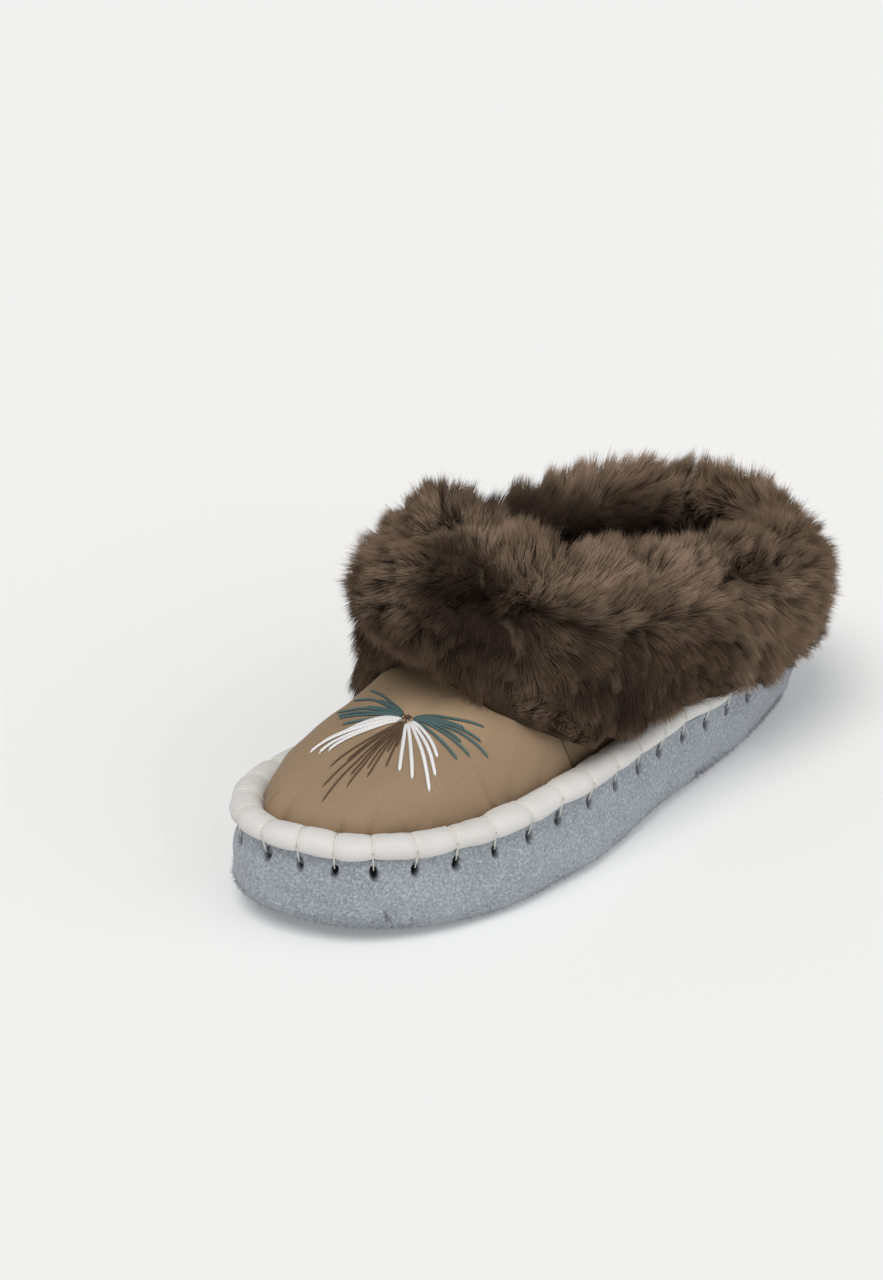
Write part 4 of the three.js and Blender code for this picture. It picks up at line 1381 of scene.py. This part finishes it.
class Hair:
    """Hairs of the cuff, each with its place on the face, its lock and its curl."""

    def __init__(self, cuff, share, along, locks, curls):
        self.share = share % 1
        self.face = cuff.read(cuff.face, share, along)
        root = cuff.read(cuff.foot, share, along)
        self.root = root + 0.12 * (root - self.face)
        self.normal = unit(cuff.read(cuff.normals, share, along))
        self.out = cuff.read(cuff.out, share, along)
        self.facing = (self.normal * self.out).sum(1)
        self.valley = cuff.read(cuff.valley, share, along)[:, 0]
        self.hem = np.interp(self.share, np.arange(cuff.count + 1) / cuff.count,
                             np.append(cuff.hem, cuff.hem[0]))
        self.locks, self.curls = locks, curls
        self.lock, lock_off = nearest(self.face, locks.centre)
        self.curl, curl_off = nearest(self.face, curls.centre)
        self.lock_off, self.curl_off = lock_off / locks.size, curl_off / curls.size

    def tips(self, looks, rng):
        """The hairs' ends: combed, drawn to their lock and their curl, and raised."""
        locks, curls, lock, curl = self.locks, self.curls, self.lock, self.curl
        face, normal, count = self.face, self.normal, len(self.face)
        stray = looks.lumps / MM * (wander(face, 34, 82, 3) + 0.7 * wander(face, 12, 83, 3))
        stray -= 0.6 * normal * (stray * normal).sum(1)[:, None]
        tip = face + lay_of(normal, self.out, self.share) + stray
        tip = tip + locks.lean[lock] * LOCK_LEAN + curls.lean[curl] * CURL_LEAN
        tip = tip + rng.normal(0, LONE_LEAN, (count, 3))
        tip = tip + (locks.centre[lock] - face) * LOCK_PULL
        tip = tip + (curls.centre[curl] - face) * rng.uniform(0.1, 0.6, (count, 1))
        peak = LOCK_PEAK * locks.long[lock] + CURL_PEAK * curls.long[curl]
        peak = peak + LOCK_DOME * (1 - self.lock_off) + CURL_DOME * (1 - self.curl_off)
        peak = peak + rng.normal(0, LONE_PEAK, count) - SINK
        peak = np.where(normal[:, 2] < -0.35, np.minimum(peak, 0.2) - 0.6, peak)
        return tip + normal * peak[:, None]

    def trim(self, tip, rng):
        """Moves the tips so that the fur ends at its lower edge."""
        drop = around(FUR_EDGE, self.share, "drop")
        high = self.face[:, 2]
        low = self.hem - drop + 1.0 * wander(self.face, 9, 84) + rng.uniform(-0.6, 0.9, len(tip))
        low = np.where(drop > 0, np.minimum(low, high - 0.2), low)
        tip[:, 2] -= drop * bump(np.maximum(high - self.hem, 0), 11) * step(self.facing, 0, 0.6)
        tip[:, 2] = np.where(self.facing > -0.2, np.maximum(tip[:, 2], low), tip[:, 2])

    def shades(self, rng):
        """How light each hair is towards its tip, as painted shade, and how pale, partly as painted
        light and shade.
        """
        # Painted shade between the locks; painted light and shade of the fur's stretches.
        gap = np.clip(self.lock_off, 0, 1)
        tone = sum(zone["tone"] * beside(self.face, zone) for zone in FUR_PAINTED_LIGHT_AND_SHADE)
        pale = 0.42 + 0.24 * self.locks.pale[self.lock] + 0.2 * self.curls.pale[self.curl]
        pale = pale + 0.2 * wander(self.face, 17, 85)
        pale = np.clip(pale + tone - 0.3 * gap**2 + rng.normal(0, 0.2, len(gap)), 0, 1)
        # Painted shade in the valleys, between the locks and in the dark stretches.
        light = 1 - 0.3 * np.clip(self.valley / 7, 0, 1) - 0.22 * gap**2 + np.minimum(tone, 0)
        return np.clip(light, 0.25, 1), pale


def make_quarter(name, hair, looks, finish, rng):
    """The hair of one quarter of the cuff."""
    tip = hair.tips(looks, rng)
    hair.trim(tip, rng)
    radius = looks.hair_radius / MM * rng.uniform(0.75, 1.25, len(tip))
    points, faces, up = strands(hair.root, tip, radius)
    light, pale = hair.shades(rng)
    each = len(points) // len(tip)
    # The tip value carries painted shade; the tuft value carries paleness with painted light and
    # shade.
    piece = make_piece("fur_" + name, points, faces, finish,
                       {"tip": up * np.repeat(light, each), "tuft": np.repeat(pale, each)},
                       rounded_normals(points, hair.root, tip, hair.normal))
    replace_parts(piece, "fur_cuff")


def make_footbed(looks):
    """The sheepskin footbed with its short curly pile."""
    cols = Columns(np.arange(FOOTBED_COLUMNS) / FOOTBED_COLUMNS).rows()
    rim = WALL_THICKNESS + CLEARANCE + 0.4
    edge = cols.inset(np.array([[rim]]), -SKIRT_DEPTH - CLEARANCE)
    spine = edge * (0, 0.86, 1)
    spine[..., 0] = 0.5 * (edge[..., 0] + edge[::-1, :, 0]) * 0.4
    row = np.array([FOOTBED_ROWS])
    top = edge + (spine - edge) * row[..., None]
    dish = FOOTBED_DISH * step(row, 0.0, 0.6)
    waves = 0.5 * wander(top, 9, 91) * (row > 0)
    top[..., 2] = wall_top(top[..., 1]) - SKIRT_DEPTH - CLEARANCE - dish + waves
    under = edge.copy()
    under[..., 2] = spring(under[..., 1]) + PAD_THICKNESS + CLEARANCE
    body = np.concatenate([under, top], 1)
    tone = np.full(body.shape[:2], FOOTBED_TIP)
    piece = make_piece("footbed_pile", body.reshape(-1, 3), closed_quads(*body.shape[:2]),
                       fur_finish("footbed pile", looks),
                       {"tip": tone, "tuft": np.zeros_like(tone)})
    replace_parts(piece, "insole")
    rng = np.random.default_rng(92)
    count = FOOTBED_CURLS
    i = rng.integers(0, FOOTBED_COLUMNS, count)
    f = rng.uniform(0, 1, count)[:, None]
    inward = rng.uniform(0.04, 1, count)
    rim_at, spine_at = (line[i, 0] + (line[(i + 1) % FOOTBED_COLUMNS, 0] - line[i, 0]) * f
                        for line in (edge, spine))
    root = rim_at + (spine_at - rim_at) * inward[:, None]
    root[:, 2] = wall_top(root[:, 1]) - SKIRT_DEPTH - CLEARANCE - FOOTBED_DISH * step(inward, 0, 0.6)
    tip = root + rng.normal(0, 1.6, (count, 3)) * (1, 1, 0.3) + (0, 0, 3.4)
    tip = tip + wander(root, 7, 93, 3) * (1.5, 1.5, 0.5)
    points, faces, up = strands(root - (0, 0, 0.5), tip, 0.42)
    # Darker towards the root, partly as painted shade.
    make_piece("footbed_curls", points, faces, fur_finish("footbed curls", looks),
               {"tip": 0.3 + 0.7 * up, "tuft": np.zeros(len(points))})


# The stage


def make_floor(looks):
    """The pale floor, which shines a little by itself."""
    finish = Finish("pale floor")
    cloud = finish.noise(900, 2, 0.5)
    tone = finish.mix(cloud, looks.floor, [c * 0.985 for c in looks.floor])
    material = finish.surface(tone, 0.9, None, Specular_IOR_Level=0.0,
                              Emission_Color=looks.floor, Emission_Strength=looks.glow)
    mesh = bpy.data.meshes.new("floor")
    corners = [(x * FLOOR_HALF, y * FLOOR_HALF, 0) for x, y in ((-1, -1), (1, -1), (1, 1), (-1, 1))]
    mesh.from_pydata(corners, [], [(0, 1, 2, 3)])
    mesh.materials.append(material)
    floor = place_object("floor", mesh)


def make_lights(looks):
    """Soft even light from the sky, a gentle key light and a front light."""
    world = bpy.context.scene.world or bpy.data.worlds.new("studio")
    bpy.context.scene.world = world
    world.use_nodes = True
    sky = world.node_tree.nodes["Background"]
    sky.inputs["Color"].default_value = (*SKY_COLOUR, 1)
    sky.inputs["Strength"].default_value = looks.sky
    for name, sun in SUNS.items():
        lamp = bpy.data.lights.new(name, "SUN")
        lamp.energy = getattr(looks, name)
        lamp.angle = math.radians(sun["width"])
        lamp.color = sun["colour"]
        turn = Vector(sun["way"]).to_track_quat("Z", "Y")
        place_object(name, lamp).rotation_euler = turn.to_euler()


def make_camera(looks):
    """The camera at the photograph's angle."""
    azimuth, elevation, roll = (math.radians(v) for v in (AZIMUTH, ELEVATION, CAMERA_ROLL))
    back = Vector((math.sin(azimuth) * math.cos(elevation),
                   -math.cos(azimuth) * math.cos(elevation), math.sin(elevation)))
    right = Vector((math.cos(azimuth), math.sin(azimuth), 0))
    up = back.cross(right)
    side = right * math.cos(roll) + up * math.sin(roll)
    head = up * math.cos(roll) - right * math.sin(roll)
    target = (Vector(TARGET) + Vector(TO_FRAME)) * MM
    lens = bpy.data.cameras.new("photo_camera")
    lens.sensor_width = SENSOR
    lens.lens = LENS
    lens.clip_start, lens.clip_end = 0.05, 50
    camera = place_object("photo_camera", lens)
    place = target + back * looks.distance
    camera.matrix_world = Matrix((
        (side.x, head.x, back.x, place.x), (side.y, head.y, back.y, place.y),
        (side.z, head.z, back.z, place.z), (0, 0, 0, 1)))
    bpy.context.scene.camera = camera


def make_stage(looks):
    """The floor, the light and the camera."""
    bpy.context.scene.view_settings.view_transform = "Standard"
    make_floor(looks)
    make_lights(looks)
    make_camera(looks)


class Making(bpy.types.Operator):
    """What the operators share"""

    bl_options = {"REGISTER"}

    def make(self, looks):
        """Makes the pieces; each operator has its own."""

    def execute(self, context):
        """Makes the operator's pieces from the scene's looks."""
        self.make(context.scene.moccasin_looks)
        return {"FINISHED"}


class MOCCASIN_OT_stage(Making):
    """Set up the floor, the light and the camera"""

    bl_idname = "moccasin.stage"
    bl_label = "Stage"

    def make(self, looks):
        make_stage(looks.stage)


class MOCCASIN_OT_sole(Making):
    """Make the suede cup with its awl holes and its nap"""

    bl_idname = "moccasin.sole"
    bl_label = "Suede cup"

    def make(self, looks):
        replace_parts(make_sole(looks.sole), "outsole")
        make_nap(looks.sole)


class MOCCASIN_OT_roll(Making):
    """Make the white roll and the thread over it"""

    bl_idname = "moccasin.roll"
    bl_label = "Roll and stitches"

    def make(self, looks):
        make_roll(looks.roll)
        make_stitches(looks.roll, looks.sole)


class MOCCASIN_OT_upper(Making):
    """Make the nubuck upper and its embroidered fan"""

    bl_idname = "moccasin.upper"
    bl_label = "Upper and fan"

    def make(self, looks):
        grid, shades, cols = upper_grid(looks.upper)
        make_upper(looks.upper, grid, shades, cols)
        make_embroidery(looks.upper, grid)


class MOCCASIN_OT_footbed(Making):
    """Make the footbed and its curly pile"""

    bl_idname = "moccasin.footbed"
    bl_label = "Footbed"

    def make(self, looks):
        make_footbed(looks.fur)


class MOCCASIN_OT_cuff(Making):
    """Make the deep fur of the cuff"""

    bl_idname = "moccasin.cuff"
    bl_label = "Fur cuff"

    def make(self, looks):
        make_cuff(looks.fur)


OPERATORS = (MOCCASIN_OT_stage, MOCCASIN_OT_sole, MOCCASIN_OT_roll, MOCCASIN_OT_upper,
             MOCCASIN_OT_footbed, MOCCASIN_OT_cuff)


class MOCCASIN_PT_panel(bpy.types.Panel):
    """The pieces of the moccasin, in the order of their making"""

    bl_idname = "MOCCASIN_PT_panel"
    bl_label = "Sheepskin moccasin"
    bl_space_type = "VIEW_3D"
    bl_region_type = "UI"
    bl_category = "Moccasin"

    def draw(self, context):
        """Lists an operator to a line."""
        for operator in OPERATORS:
            self.layout.operator(operator.bl_idname)


CLASSES = (SoleLooks, RollLooks, UpperLooks, FurLooks, StageLooks, MoccasinLooks, *OPERATORS,
           MOCCASIN_PT_panel)


def register():
    """Registers the classes and the scene's looks."""
    for each in CLASSES:
        bpy.utils.register_class(each)
    bpy.types.Scene.moccasin_looks = PointerProperty(type=MoccasinLooks)


def unregister():
    """Takes back what register did."""
    del bpy.types.Scene.moccasin_looks
    for each in reversed(CLASSES):
        bpy.utils.unregister_class(each)


def main():
    register()
    for make in (bpy.ops.moccasin.stage, bpy.ops.moccasin.sole, bpy.ops.moccasin.roll,
                 bpy.ops.moccasin.upper, bpy.ops.moccasin.footbed, bpy.ops.moccasin.cuff):
        make()


if __name__ == "__main__":
    main()
